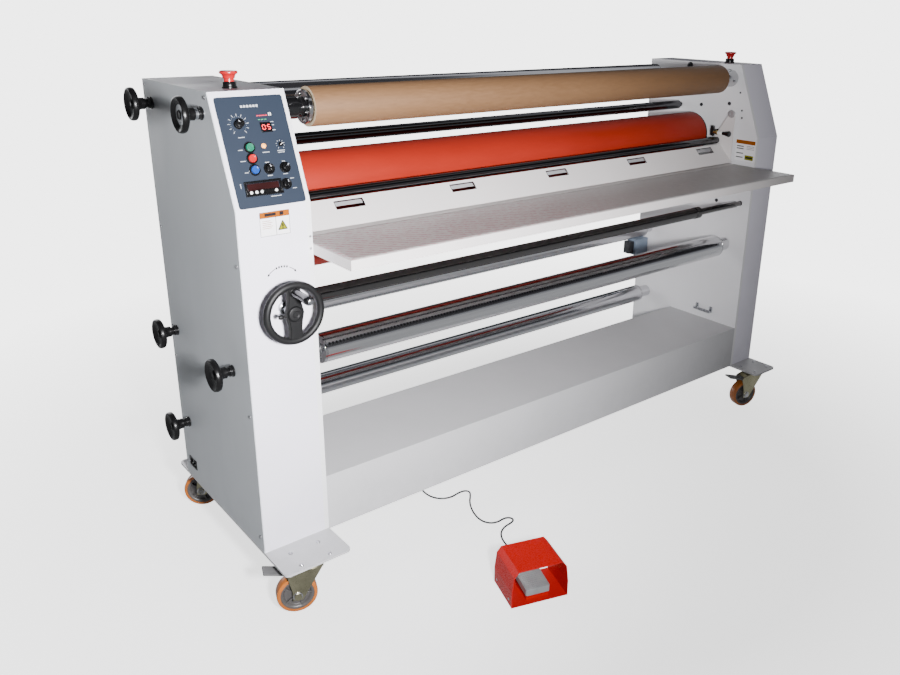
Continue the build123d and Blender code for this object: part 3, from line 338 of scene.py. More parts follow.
def make_materials():
    """Every finish, by name."""
    return {
        "paint": powder_coat("cream_powder_coat", (0.715, 0.70, 0.775)),
        "plate_paint": powder_coat("side_plate_powder_coat", (0.72, 0.72, 0.735)),
        # Side covers: a darker blue-grey copy of the cabinet paint, painted shade for the outer sides, which face away
        # from the light.
        "side_cover_shaded_paint": powder_coat("side_cover_painted_shade_coat", (0.43, 0.455, 0.475)),
        "base_paint": powder_coat("base_powder_coat", (0.46, 0.46, 0.47)),
        "guard_paint": powder_coat("guard_powder_coat", (0.64, 0.61, 0.60)),
        "overlay": finish("slate_overlay_film", (0.0155, 0.0215, 0.0335), 0.42, vary=0.05, grain=1500, relief=0.08,
                          specular=0.22),
        "black": finish("black_moulded_plastic", (0.0036, 0.0035, 0.0037), 0.28, vary=0.3, grain=700, relief=0.10,
                        specular=0.22),
        "black_matt": finish("black_matt_casting", (0.0052, 0.0052, 0.0055), 0.50, vary=0.25, grain=500, relief=0.3,
                             specular=0.25),
        "black_gloss": finish("black_glossy_plastic", (0.0035, 0.0035, 0.0038), 0.15, vary=0.3, coat=0.25,
                              specular=0.4),
        "red": finish("red_glossy_plastic", (0.36, 0.0075, 0.010), 0.26, vary=0.08, coat=0.15, specular=0.4),
        "red_paint": finish("red_enamel", (0.40, 0.0030, 0.0022), 0.28, vary=0.08, patch=9, grain=500, relief=0.08,
                            coat=0.12, specular=0.2),
        "green": finish("green_button_plastic", (0.006, 0.120, 0.066), 0.25, coat=0.2),
        "blue": finish("blue_button_plastic", (0.006, 0.045, 0.230), 0.25, coat=0.2),
        "grey": finish("grey_moulded_plastic", (0.11, 0.11, 0.11), 0.45, vary=0.08, relief=0.2),
        "pale": finish("pale_button_plastic", (0.72, 0.72, 0.70), 0.40),
        "print_white": finish("white_panel_print", (0.42, 0.44, 0.47), 0.50),
        # Dark print, also used for the painted shade round the guard windows.
        "dark_print_and_shade": finish("dark_panel_print_and_painted_shade", (0.009, 0.009, 0.012), 0.6, specular=0.08),
        "print_orange": finish("orange_sticker_print", (0.26, 0.066, 0.002), 0.55, specular=0.05),
        "print_yellow": finish("yellow_sticker_print", (0.17, 0.165, 0.004), 0.55, specular=0.05),
        "sticker": finish("white_sticker", (0.80, 0.79, 0.80), 0.38, vary=0.03),
        "cast": finish("grey_cast_treadle", (0.27, 0.285, 0.29), 0.42, metal=0.35, vary=0.12, patch=40, grain=350,
                       relief=0.4, depth=0.0004),
        "zinc": finish("yellow_zinc_plate", (0.34, 0.32, 0.215), 0.34, metal=1.0, vary=0.18, patch=28, grain=400,
                       rough_spread=0.1),
        "bolt": finish("plated_bolt", (0.50, 0.50, 0.52), 0.28, metal=1.0, vary=0.15, patch=60),
        "dark_bolt": finish("blackened_bolt", (0.06, 0.06, 0.065), 0.35, metal=0.7, vary=0.2, patch=60),
        "dark": chrome("blackened_tube", (0.15, 0.145, 0.142), 0.13),
        "steel": turned("machined_steel", (0.46, 0.47, 0.49), 0.24),
        "steel_y": turned("machined_steel_along_y", (0.46, 0.47, 0.49), 0.24, axis=1),
        "aluminium": chrome("satin_aluminium", (0.62, 0.62, 0.64), 0.13),
        "chrome": chrome("polished_chrome", (0.10, 0.10, 0.105), 0.07),
        "chuck": chrome("nickel_chuck", (0.50, 0.50, 0.51), 0.13),
        "scale_chrome": scale_chrome(),
        "silicone": silicone(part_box("upper_nip_sleeve")[1].x - 6 * MM),
        "kraft": kraft(),
        "cut_paper": finish("cut_paper_edge", (0.36, 0.29, 0.20), 0.7, vary=0.15, patch=120, relief=0.4, specular=0.2),
        "cable": finish("cable_sheath", (0.010, 0.010, 0.011), 0.45, vary=0.3, grain=1200),
        "tread": finish("orange_polyurethane", (0.34, 0.098, 0.014), 0.32, vary=0.12, patch=30, relief=0.15, coat=0.2),
        "hub": finish("grey_wheel_hub", (0.060, 0.056, 0.054), 0.38, vary=0.12, patch=40),
        "boss": finish("nickel_boss", (0.40, 0.40, 0.41), 0.36, metal=0.45, vary=0.12, patch=60),
        "brass": finish("brass_plunger", (0.55, 0.42, 0.14), 0.28, metal=1.0, vary=0.12, patch=50),
        "sensor": finish("blue_grey_housing", (0.16, 0.20, 0.26), 0.42, vary=0.1),
        # Grey strip across the upper part of each guard window.
        "lens": finish("grey_window_strip", (0.30, 0.30, 0.31), 0.12, vary=0.1, coat=0.6),
        "screen": finish("dark_red_screen", (0.020, 0.006, 0.006), 0.10, vary=0.4, coat=0.6),
        "film": film_print(),
        "lit_red": glow("lit_red_segment", (1.0, 0.05, 0.06), 2.2),
        "dim_red": glow("dim_red_lamp", (0.55, 0.03, 0.06), 0.5),
        "lit_green": glow("lit_green_lamp", (0.05, 0.35, 0.15), 0.4),
        "lit_orange": glow("lit_orange_lamp", (1.0, 0.42, 0.08), 2.0),
    }


# ---------------------------------------------------------------- shapes: sizes in millimetres
# Each shape is (vertices, faces), and its vertices are in metres.
def join(*shapes):
    """Several shapes as one."""
    verts, faces = [], []
    for points, polygons in shapes:
        start = len(verts)
        verts += points
        faces += [[start + i for i in polygon] for polygon in polygons]
    return verts, faces


def moved(shape, matrix):
    """A shape under a matrix."""
    return [matrix @ Vector(point) for point in shape[0]], shape[1]


def around(shape, angles, place=Matrix()):
    """Copies of a shape, put at a place and then turned about Z."""
    return join(*(moved(shape, turn(angle) @ place) for angle in angles))


def row(shape, xs, y=0.0, z=0.0):
    """Copies of a shape side by side."""
    return join(*(moved(shape, shift(x, y, z)) for x in xs))


def evenly(count, start=0.0):
    """Angles round a circle."""
    return [2 * pi * k / count + start for k in range(count)]


def cuboid(x0, x1, y0, y1, z0, z1):
    """Box from its limits, in its own frame."""
    points = [Vector((x * MM, y * MM, z * MM)) for x in (x0, x1) for y in (y0, y1) for z in (z0, z1)]
    return points, [(0, 1, 3, 2), (4, 6, 7, 5), (0, 4, 5, 1), (2, 3, 7, 6), (0, 2, 6, 4), (1, 5, 7, 3)]


def prism(outline, low, high):
    """An XY outline raised from low to high."""
    count = len(outline)
    points = [Vector((x * MM, y * MM, z * MM)) for z in (low, high) for x, y in outline]
    faces = [tuple(reversed(range(count))), tuple(range(count, 2 * count))]
    faces += [(i, (i + 1) % count, count + (i + 1) % count, count + i) for i in range(count)]
    return points, faces


def bar(x0, y0, x1, y1, width, low=0.0, high=0.3):
    """Thin printed line between two points."""
    start, end = Vector((x0, y0)), Vector((x1, y1))
    side = Vector((y0 - y1, x1 - x0)).normalized() * width / 2
    return prism([start - side, end - side, end + side, start + side], low, high)


def lathe(profile, segments=48, closed=False):
    """(radius, height) points turned about Z; a point at radius 0 closes an end."""
    verts, faces, rings = [], [], []
    for radius, height in profile:
        if radius == 0:
            rings.append([len(verts)])
            verts.append(Vector((0, 0, height * MM)))
            continue
        rings.append(list(range(len(verts), len(verts) + segments)))
        for angle in evenly(segments):
            verts.append(Vector((radius * MM * cos(angle), radius * MM * sin(angle), height * MM)))
    pairs = list(zip(rings, rings[1:]))
    if closed:
        pairs.append((rings[-1], rings[0]))
    for low, high in pairs:
        for k in range(segments):
            after = (k + 1) % segments
            corners = [low[k % len(low)], low[after % len(low)], high[after % len(high)], high[k % len(high)]]
            faces.append(list(dict.fromkeys(corners)))
    return verts, faces


def hexagon(radius, low, high):
    """Hexagonal nut about Z."""
    return prism([(radius * cos(angle), radius * sin(angle)) for angle in evenly(6)], low, high)


def round_edges(item, width):
    """Small bevel on an object's sharp edges."""
    bevel = item.modifiers.new("edge", "BEVEL")
    bevel.width = width * MM
    bevel.segments = 2
    bevel.limit_method = "ANGLE"
    bevel.angle_limit = radians(40)


def piece(name, shape, material, body="frame", stands_for=None, soften=0.0):
    """Object from a shape, with rounded edges, riding on a body."""
    mesh = bpy.data.meshes.new(name)
    mesh.from_pydata([tuple(point) for point in shape[0]], [], [tuple(face) for face in shape[1]])
    work = bmesh.new()
    work.from_mesh(mesh)
    bmesh.ops.recalc_face_normals(work, faces=work.faces)
    work.to_mesh(mesh)
    work.free()
    for polygon in mesh.polygons:
        polygon.use_smooth = True
    mesh.set_sharp_from_angle(angle=radians(38))
    item = show(bpy.data.objects.new(name, mesh))
    mesh.materials.append(look[material])
    if soften:
        round_edges(item, soften)
    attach(item, body)
    if stands_for:
        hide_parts(stands_for)
    return item


# ---------------------------------------------------------------- cord
FLOOR_RUN = (              # X and Y, in millimetres, of the stretch that lies on the floor
    (-375.0, 91.0), (-368.0, 62.0), (-350.0, 41.0), (-322.0, 33.0), (-294.0, 39.0), (-271.0, 38.0), (-261.0, 24.0),
    (-273.0, 5.0), (-296.0, -20.0), (-316.0, -54.0), (-329.0, -92.0), (-331.0, -124.0), (-319.0, -146.0),
    (-297.0, -155.0), (-273.0, -151.0), (-255.0, -158.0), (-253.0, -174.0), (-269.0, -182.0), (-296.0, -184.0),
    (-321.0, -197.0), (-339.0, -220.0), (-349.0, -250.0), (-354.0, -284.0),
)
LYING = 2.7                # height of the cable's centre there


def make_cord():
    """Foot switch cable from the beam's gland to the switch block."""
    gland_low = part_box("cord_gland")[0].z
    route = [(-375.0, 158.0, gland_low / MM), (-375.0, 158.0, 98.0), (-375.0, 155.0, 63.0), (-375.0, 144.0, 30.0),
             (-375.5, 121.0, 8.0)]
    route += [(x, y, LYING) for x, y in FLOOR_RUN]
    route += [(-367.0, -316.0, 3.7), (-382.5, -353.0, 13.0), (-393.0, -386.5, 15.0)]
    curve = bpy.data.curves.new("foot_switch_cable", "CURVE")
    curve.dimensions = "3D"
    curve.bevel_depth = 2.5 * MM
    curve.bevel_resolution = 5
    curve.use_fill_caps = True
    spline = curve.splines.new("NURBS")
    spline.points.add(len(route) - 1)
    for point, (x, y, z) in zip(spline.points, route):
        point.co = (x * MM, y * MM, z * MM, 1)
    spline.order_u = 3
    spline.use_endpoint_u = True
    spline.resolution_u = 10
    cable = show(bpy.data.objects.new("foot_switch_cable", curve))
    curve.materials.append(look["cable"])
    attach(cable, "frame")
    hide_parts("foot_switch_cord")


# ---------------------------------------------------------------- floor and lights
BACKDROP = 4.2             # strength of the backdrop that the camera sees
WHITE = (1, 1, 1, 1)


def camera_only(tree, seen, unseen):
    """One shader for what the camera sees, another for the light that it gives."""
    return add(tree, "MixShader", "Shader", {"Fac": add(tree, "LightPath", "Is Camera Ray"), 1: unseen, 2: seen})


def reflected_only(tree, seen, unseen):
    """One shader for what shows in reflections, another for the rest."""
    return add(tree, "MixShader", "Shader", {"Fac": add(tree, "LightPath", "Is Glossy Ray"), 1: unseen, 2: seen})


def plain_emission(tree, colour, strength):
    """Even light from a surface."""
    return add(tree, "Emission", "Emission", {"Color": colour, "Strength": strength})


def make_floor():
    """Pale floor that takes the machine's shadow and fades into the backdrop."""
    work = bmesh.new()
    bmesh.ops.create_grid(work, x_segments=4, y_segments=4, size=40)
    mesh = bpy.data.meshes.new("floor")
    work.to_mesh(mesh)
    work.free()
    floor = show(bpy.data.objects.new("floor", mesh))
    material, tree, bsdf, place = shader("pale_floor")
    tone = ramp(tree, noise_node(tree, place, 0.8), [(0.3, (0.50, 0.50, 0.505)), (0.7, (0.52, 0.52, 0.525))])
    feed(tree, bsdf, {"Base Color": tone, "Roughness": 0.9, "Specular IOR Level": 0.0})
    near = add(tree, "AddShader", "Shader", {0: bsdf.outputs["BSDF"], 1: plain_emission(tree, WHITE, BACKDROP * 0.42)})
    distance = add(tree, "VectorMath", "Value", {0: place}, operation="LENGTH")
    faded = add(tree, "MixShader", "Shader", {"Fac": span(tree, distance, 0.9, 2.6), 1: near,
                                              2: plain_emission(tree, WHITE, BACKDROP)})
    mirrored = reflected_only(tree, plain_emission(tree, (0.95, 0.97, 1, 1), 0.48), bsdf.outputs["BSDF"])
    feed(tree, tree.nodes["Material Output"], {"Surface": camera_only(tree, faded, mirrored)})
    mesh.materials.append(material)


def make_world():
    """Plain backdrop to the camera, a room with light bands in the reflections, and dim light for the rest."""
    world = bpy.data.worlds.new("studio")
    bpy.context.scene.world = world
    world.use_nodes = True
    tree = world.node_tree
    tree.nodes.clear()
    output = tree.nodes.new("ShaderNodeOutputWorld")
    height = coordinate(tree, add(tree, "TexCoord", "Generated"), "Z")
    ground, dark, band, ceiling = (0.30, 0.31, 0.33), (0.035, 0.035, 0.04), (0.60, 0.61, 0.64), (0.06, 0.06, 0.065)
    sky = ramp(tree, height, [(0.0, ground), (0.12, ground), (0.22, dark), (0.60, dark), (0.66, band), (0.74, band),
                              (0.80, ceiling)])
    room, dim, plain = (add(tree, "Background", "Background", {"Color": colour, "Strength": strength})
                        for colour, strength in ((sky, 1.0), ((0.95, 0.97, 1, 1), 0.075), (WHITE, BACKDROP)))
    feed(tree, output, {"Surface": camera_only(tree, plain, reflected_only(tree, room, dim))})


def light(name, kind, place, target, power, colour, **settings):
    """Lamp aimed at a point."""
    data = bpy.data.lights.new(name, kind)
    data.energy = power
    data.color = colour
    for key, value in settings.items():
        setattr(data, key, value)
    show(bpy.data.objects.new(name, data)).matrix_world = aim(place, Vector(place) - Vector(target))


def make_lights():
    """Soft spot beside the camera that fades along the machine, and weak lights from behind and from the side."""
    light("key_light", "SPOT", place_of_camera + Vector((0.40, -0.04, -0.155)), (left_face - 0.06, front, 1.04), 780,
          (0.985, 0.98, 1.0), shadow_soft_size=0.10, spot_size=radians(94), spot_blend=1.0)
    soft = (0.985, 0.985, 1.0)
    light("back_light", "AREA", (-0.6, 3.6, 1.5), (0, front, 0.75), 75, soft, size=2.5)
    light("side_light", "AREA", (3.8, 1.0, 1.5), (0.9, 0.2, 0.7), 26, soft, size=2.0)


place_of_camera = make_camera()
look = make_materials()
make_cord()
make_floor()
make_world()
make_lights()


# ---------------------------------------------------------------- CAD nodes that stay
def dress(names, material, soften):
    """Material and rounded edges for CAD nodes whose shape is right."""
    for name in names:
        data = nodes[name].data
        data.materials.clear()
        data.materials.append(look[material])
        round_edges(nodes[name], soften)


def starting(prefix):
    """CAD nodes whose name starts with a word."""
    return [name for name in nodes if name.startswith(prefix)]


def dress_frame():
    """Finish of every CAD node that is kept or only lightly replaced."""
    dress(["left_cabinet_shell", "right_cabinet_shell"], "paint", 1.2)
    # The side covers take the darker copy of the cabinet paint: painted shade.
    dress(["left_side_cover", "right_side_cover"], "side_cover_shaded_paint", 0.7)
    dress(["side_frames"], "plate_paint", 0.8)
    dress(["base_plates", "base_beam"], "base_paint", 1.5)
    dress(["infeed_table"], "guard_paint", 1.5)
    dress(["nip_guard"], "guard_paint", 0.6)
    dress(["control_overlay"], "overlay", 0.4)
    dress(["drive_and_bearings", "nip_lift_blocks"], "steel", 0.6)
    dress(["guard_idler", "upper_idler"], "chrome", 0.8)
    dress(["scale_takeup_roller"], "scale_chrome", 0.8)
    dress(["rear_top_roller", "rear_mid_roller", "rear_low_roller"], "aluminium", 0.8)
    dress(["deflector_roller"], "dark", 0.8)
    dress(["lower_nip_sleeve", "upper_nip_sleeve"], "silicone", 1.5)
    dress(["lower_nip_shaft", "upper_nip_shaft", "supply_shaft"], "steel", 0.8)
    dress(["foot_switch_hood"], "red_paint", 0.5)
    dress(starting("caster_fork_"), "zinc", 0.6)
    dress(starting("brake_pedal_"), "grey", 1.2)
    dress(["side_fittings"], "dark_bolt", 0.8)
    dress(["cord_gland"], "black", 0.6)
    dress(["panel_screws"], "bolt", 0.4)
    dress(["panel_fittings"], "black", 0.4)


dress_frame()


# ---------------------------------------------------------------- screws, plugs and small marks
def domed_head(radius, height):
    """Domed screw head with a socket, about Z."""
    return lathe([(0, 0), (radius, 0), (radius, height * 0.55), (radius * 0.85, height * 0.9), (radius * 0.5, height),
                  (radius * 0.48, height * 0.45), (0, height * 0.40)], 24)


def screw(place, direction, radius, height):
    """Domed head at a place."""
    return moved(domed_head(radius, height), aim(place, direction))


def make_screws():
    """Heads and plugs in place of the plain ones, in groups by finish."""
    cover_screws = [(0.014, 0.190), (0.014, 0.513), (0.014, 0.873), (0.106, 1.221), (0.480, 0.190), (0.480, 0.511),
                    (0.480, 0.868), (0.480, 1.221)]
    heads = [screw((x, front + y, z), (side, 0, 0), 4.5, 2)
             for y, z in cover_screws for x, side in ((outer_left, -1), (outer_right, 1))]
    heads += [screw((left_face - 6 * MM, front, z), (0, -1, 0), 3, 2) for z in (0.918, 0.890)]
    base_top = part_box("base_plates")[1].z
    for corner in CORNERS:
        centre = pivot(f"caster_{corner}_swivel")
        heads += [screw((centre.x + i * 37.5 * MM, centre.y + j * 29 * MM, base_top), (0, 0, 1), 5.2, 3)
                  for i in (-1, 1) for j in (-1, 1)]
    guard, bosses = pivot("guard_tilt"), []
    for x, side, reach in ((left_face, 1, 12.5), (right_face, -1, 14.5)):
        stud = lathe([(0, 0), (6, 0), (6, reach), (13, reach), (13, reach + 3.4), (11.8, reach + 4.8),
                      (5, reach + 5), (4, reach + 3), (0, reach + 3)], 40)
        bosses.append(moved(stud, aim((x, guard.y, guard.z), (side, 0, 0))))
    piece("screws_and_studs", join(*heads), "bolt", stands_for="panel_screws", soften=0.25)
    piece("guard_bosses", join(*bosses), "boss", soften=0.25)
    small, middle, large = (3.4, 2), (6.5, 3), (10.5, 8)         # radius and height of each kind of plug
    plugs = [(0.128, 1.101, middle), (0.368, 1.120, middle), (0.139, 0.756, middle), (0.246, 1.087, middle),
             (0.311, 1.220, large), (0.074, 1.082, small), (0.071, 1.057, small), (0.088, 1.141, small)]
    piece("wall_plugs", join(*(screw((right_face, front + y, z), (-1, 0, 0), *size) for y, z, size in plugs)),
          "dark_bolt", soften=0.2)


make_screws()

# ---------------------------------------------------------------- control panel: places in millimetres
PANEL_AXIS = axis_of("speed_dial_turn")
ACROSS = Vector((1, 0, 0))
PANEL_UP = ACROSS.cross(PANEL_AXIS) * -1
SURFACE = PANEL_AXIS * MM                    # from a joint's place to the top of the overlay
DIAL, TRIM, DISPLAY, COUNTER = (53, 184), (137, 134), (114, 174), (75, 44)


def panel_matrix(x=0.0, y=0.0):
    """Panel frame at a place: X across, Y up the slope, Z out of the panel."""
    origin = pivot("start_button_press") - Vector((65 * MM, 0, 0)) - PANEL_UP * 133 * MM
    origin += Vector((x * MM, 0, 0)) + PANEL_UP * y * MM + SURFACE
    return from_axes(origin, ACROSS, PANEL_UP, PANEL_AXIS)


def control_matrix(joint):
    """Panel frame at the place of a control's joint."""
    return from_axes(pivot(joint) + SURFACE, ACROSS, PANEL_UP, PANEL_AXIS)


def on_panel(x, y, shape):
    """A shape at a place on the panel."""
    return moved(shape, panel_matrix(x, y))


def polar(radius, angle):
    """X and Y of a point on a circle."""
    return radius * cos(angle), radius * sin(angle)


def ticks(count, inner, outer, first, last, width):
    """Ring of radial marks."""
    angles = [radians(first + (last - first) * k / (count - 1)) for k in range(count)]
    return join(*(bar(*polar(inner, angle), *polar(outer, angle), width) for angle in angles))


def make_panel_print():
    """Scale rings, arrows and plain caption strokes."""
    marks = [on_panel(*DIAL, ticks(11, 19, 23.5, 232, -52, 0.9)), on_panel(*TRIM, ticks(9, 8, 10.5, 230, -50, 0.7)),
             on_panel(*DIAL, ticks(21, 17, 18.2, 232, -52, 0.4))]
    captions = [(46, 156, 60, 156), (39, 129, 49, 129), (38, 105, 50, 105), (42, 80, 50, 80), (92, 120, 108, 120),
                (127, 121, 144, 121), (128, 117, 143, 117), (92, 98, 102, 98), (91, 69, 103, 69), (131, 97, 138, 97),
                (128, 69, 138, 69), (141, 58, 150, 58), (142, 36, 151, 36), (88, 24, 112, 24), (125, 185, 133, 185),
                (126, 167, 134, 167), (128, 178, 133, 178), (26, 48, 26, 58)]
    marks += [on_panel(0, 0, bar(*stroke, 1.3)) for stroke in captions]
    marks += [on_panel(x, y, prism([(-2.2, 0), (2.2, 0), (0, 4.5 * side)], 0, 0.3))
              for x, y, side in ((55, 129, 1), (55, 106, -1), (54, 84, -1))]
    marks += [on_panel(0, 0, bar(x, 222, x + 5, 222, 5.0)) for x in (66, 73, 80, 87, 94, 101)]
    piece("panel_print", join(*marks), "print_white")


def make_bezels():
    """Collars round the buttons and knobs, in place of the plain ones."""
    ring = lathe([(9.0, 0), (12.4, 0), (12.4, 2.2), (11.6, 3.8), (9.8, 4.0), (9.0, 3.2)], 40, closed=True)
    controls = ("start_button_press", "stop_button_press", "reverse_button_press", "mode_selector_turn",
                "pedal_selector_turn", "fan_selector_turn")
    rings = [moved(ring, aim(pivot(joint) + SURFACE, PANEL_AXIS)) for joint in controls]
    collar = lathe([(11.4, 0), (17, 0), (17, 3), (15, 4.5), (15, 12), (13.6, 14), (11.4, 14)], 40, closed=True)
    rings += [moved(collar, stop_matrix(node)) for node in STOPS]
    piece("control_collars", join(*rings), "black", stands_for="panel_fittings", soften=0.2)


def segment_digit(lit):
    """Seven-segment digit from the numbers of its lit strokes."""
    half, rise, width, gap = 3.2, 5.0, 1.5, 0.8
    top, middle, bottom = rise * 2, rise, 0
    strokes = ((-half, top, half, top), (half, top, half, middle), (half, middle, half, bottom),
               (-half, bottom, half, bottom), (-half, middle, -half, bottom), (-half, top, -half, middle),
               (-half, middle, half, middle))
    parts = []
    for index in lit:
        x0, y0, x1, y1 = strokes[index]
        dx, dy = (gap if x1 > x0 else 0), (-gap if y1 < y0 else 0)
        parts.append(bar(x0 + dx, y0 + dy, x1 - dx, y1 - dy, width, 0.0, 0.5))
    return join(*parts)


def make_display():
    """Two-digit speed display, its lamps, and the counter module."""
    piece("speed_display_bezel", on_panel(*DISPLAY, cuboid(-13, 13, -11, 11, 0, 1.2)), "black_gloss",
          soften=0.5)
    digits = join(moved(segment_digit((0, 1, 2, 3, 4, 5)), shift(-5.8, -5, 1.2)),
                  moved(segment_digit((0, 2, 3, 5, 6)), shift(5.8, -5, 1.2)))
    piece("speed_display_digits", on_panel(*DISPLAY, digits), "lit_red")
    lamp = prism([(-2.2, -1.2), (2.2, -1.2), (2.2, 1.2), (-2.2, 1.2)], 0, 1.0)
    piece("load_lamps", on_panel(114, 200, row(lamp, (-14, -9, -4, 1, 6))), "dim_red", soften=0.3)
    lamp = cuboid(-1.2, 1.2, -3.5, 3.5, 0, 0.8)
    piece("unit_lamps", on_panel(114, 202, row(lamp, (12.5, 16.5))), "pale", soften=0.3)
    lamp = cuboid(-2.5, 2.5, -0.8, 0.8, 0, 0.6)
    piece("range_lamps", on_panel(114, 191.5, row(lamp, (-12, -5, 2))), "lit_green", soften=0.2)
    dome = lathe([(0, 0), (5.2, 0), (5.2, 0.8), (4.0, 1.0), (3.8, 2.6), (2.4, 3.8), (0, 4.2)], 32)
    piece("power_lamp", on_panel(98, 134, dome), "lit_orange")
    body = join(cuboid(-42, 42, -16, -12, 0, 6), cuboid(-42, 42, 12, 16, 0, 6), cuboid(-42, -38, -12, 12, 0, 6),
                cuboid(38, 42, -12, 12, 0, 6), cuboid(-38, 38, -12, -3.5, 0, 4.2))
    piece("counter_bezel", on_panel(*COUNTER, body), "black", soften=0.6)
    piece("counter_screen", on_panel(75, 46, cuboid(-36, 36, -5, 9, 0, 3)), "screen", soften=0.5)
    key = lathe([(0, 0), (3.3, 0), (3.3, 1.2), (2.4, 1.9), (0, 2.1)], 24)
    piece("counter_keys", on_panel(*COUNTER, row(key, (-31, -19, -7, 26), -8, 4.2)), "pale")


def make_buttons():
    """Caps of the three push buttons."""
    cap = lathe([(0, -5), (8.7, -5), (8.7, 5.6), (8.1, 6.7), (6.2, 6.9), (5.6, 6.3), (0, 6.2)], 40)
    for node, colour in (("start_button", "green"), ("stop_button", "red"), ("reverse_button", "blue")):
        piece(f"{node}_cap", moved(cap, aim(pivot(f"{node}_press") + SURFACE, PANEL_AXIS)), colour, node,
              node, 0.2)


def make_selectors():
    """Round selector bases with a raised finger bar and a white pointer."""
    skirt = lathe([(0, 0.3), (8.4, 0.3), (8.4, 5.5), (7.2, 8), (0, 8)], 40)
    grip = prism([(-2.6, -7.6), (2.6, -7.6), (1.9, 7.6), (-1.9, 7.6)], 7.5, 14)
    for node, angle in (("mode_selector", 20), ("pedal_selector", -35), ("fan_selector", 0)):
        matrix = control_matrix(f"{node}_turn") @ turn(radians(angle))
        piece(f"{node}_knob", moved(join(skirt, grip), matrix), "black", node, node, 0.5)
        piece(f"{node}_pointer", moved(bar(0, 1.5, 0, 7.0, 1.0, 14.0, 14.25), matrix), "print_white", node)


def fluted(radius, depth, count, low, high):
    """Knurled barrel about Z."""
    return prism([polar(radius - depth * (0.5 - 0.5 * cos(angle * count)), angle) for angle in evenly(count * 4)],
                 low, high)


def make_dials():
    """Speed dial with a fluted barrel, and the slotted trim control."""
    matrix = control_matrix("speed_dial_turn")
    skirt = lathe([(0, 0.4), (10.4, 0.4), (10.4, 1.6), (9.4, 4.2), (0, 4.2)])
    cap = lathe([(0, 14), (8.0, 14), (8.0, 15.4), (7.2, 16), (0, 15.6)])
    piece("speed_dial_knob", moved(join(skirt, fluted(8.9, 0.6, 20, 3.8, 15), cap), matrix), "black", "speed_dial",
          "speed_dial", 0.25)
    piece("speed_dial_pointer", moved(bar(0, 2.4, 0, 7.0, 1.0, 15.7, 16.0), matrix @ turn(radians(38))),
          "print_white", "speed_dial")
    matrix = control_matrix("trim_knob_turn")
    stub = lathe([(0, 0.4), (4.9, 0.4), (4.9, 5), (4.2, 6.6), (0, 6.6)], 32)
    piece("trim_control", moved(stub, matrix), "black", "trim_knob", "trim_knob", 0.3)
    piece("trim_slot", moved(bar(-3.6, -2.2, 3.6, 2.2, 1.0, 6.6, 6.8), matrix), "pale", "trim_knob")


def front_matrix(x, z):
    """Frame on the front faces: X across, Y up, Z towards the operator."""
    return from_axes((x, front, z), (1, 0, 0), (0, 0, 1), (0, -1, 0))


def make_front_sticker():
    """Plain sticker under the panel with a coloured header and a plain triangle."""
    matrix = front_matrix(left_face - 123 * MM, 933 * MM)
    width, height = 70, 54
    header = height - 6.5
    piece("front_sticker", moved(cuboid(0, width, 0, height, 0, 0.35), matrix), "sticker",
          soften=0.1)
    piece("front_sticker_header", moved(bar(0.5, header, width - 0.5, header, 12.5, 0.35, 0.5), matrix),
          "print_orange")
    piece("front_sticker_sign", moved(prism([(44, 12), (62, 12), (53, 29)], 0.35, 0.5), matrix), "print_yellow")
    right, top = width - 0.5, height - 0.5
    dark = [bar(37.5, 1, 37.5, 41, 0.9, 0.35, 0.5), bar(0.5, 0.5, right, 0.5, 0.8, 0.35, 0.5)]
    dark += [bar(*ends, line, 0.5, 0.62) for *ends, line in (
        (0.5, 0.5, 0.5, top, 0.8), (right, 0.5, right, top, 0.8), (0.5, top, right, top, 0.8),
        (0.5, 41, right, 41, 0.9), (53, 17, 53, 24, 3.0), (51.6, 14.4, 54.4, 14.4, 2.2))]
    dark += [bar(*ends, 2.0, 0.35, 0.6) for ends in (
        (42.6, 11.4, 63.4, 11.4), (63.4, 11.4, 53, 30.8), (53, 30.8, 42.6, 11.4))]
    dark += [bar(12, header, 38, header, 6.0, 0.5, 0.6), bar(47, header, 56, header, 8.0, 0.5, 0.6)]
    piece("front_sticker_ink", moved(join(*dark), matrix), "dark_print_and_shade")
    lines = [bar(6, y, 31 - (y % 7), y, 1.0, 0.35, 0.45) for y in (34, 30, 26, 22, 18)]
    piece("front_sticker_lines", moved(join(*lines), matrix), "print_orange")


def make_arrows():
    """Arc above the handwheel with a head at each end and three plain marks in its gap."""
    wheel = pivot("handwheel_turn")
    radius, steps, start, sweep = 43, 22, 137, 94
    arrows = []
    for k in range(steps):
        first, second = (radians(start - sweep * (k + part) / steps) for part in (0, 1))
        x, y = polar(radius, first)
        from_middle = k - steps // 2
        if abs(from_middle) > 5:
            arrows.append(bar(x, y, *polar(radius, second), 1.5))
        elif from_middle % 2 == 0:
            arrows.append(bar(x - 1.8, y, x + 1.8, y + 0.3, 4.6))
    for angle, side in ((start, 1), (start - sweep, -1)):
        tip, base = radians(angle + 7 * side), radians(angle - 1 * side)
        arrows.append(prism([polar(radius, tip), polar(radius - 3, base), polar(radius + 3, base)], 0, 0.3))
    piece("turning_arrows", moved(join(*arrows), front_matrix(wheel.x + 0.5 * MM, wheel.z + 53 * MM)), "dark_print_and_shade")


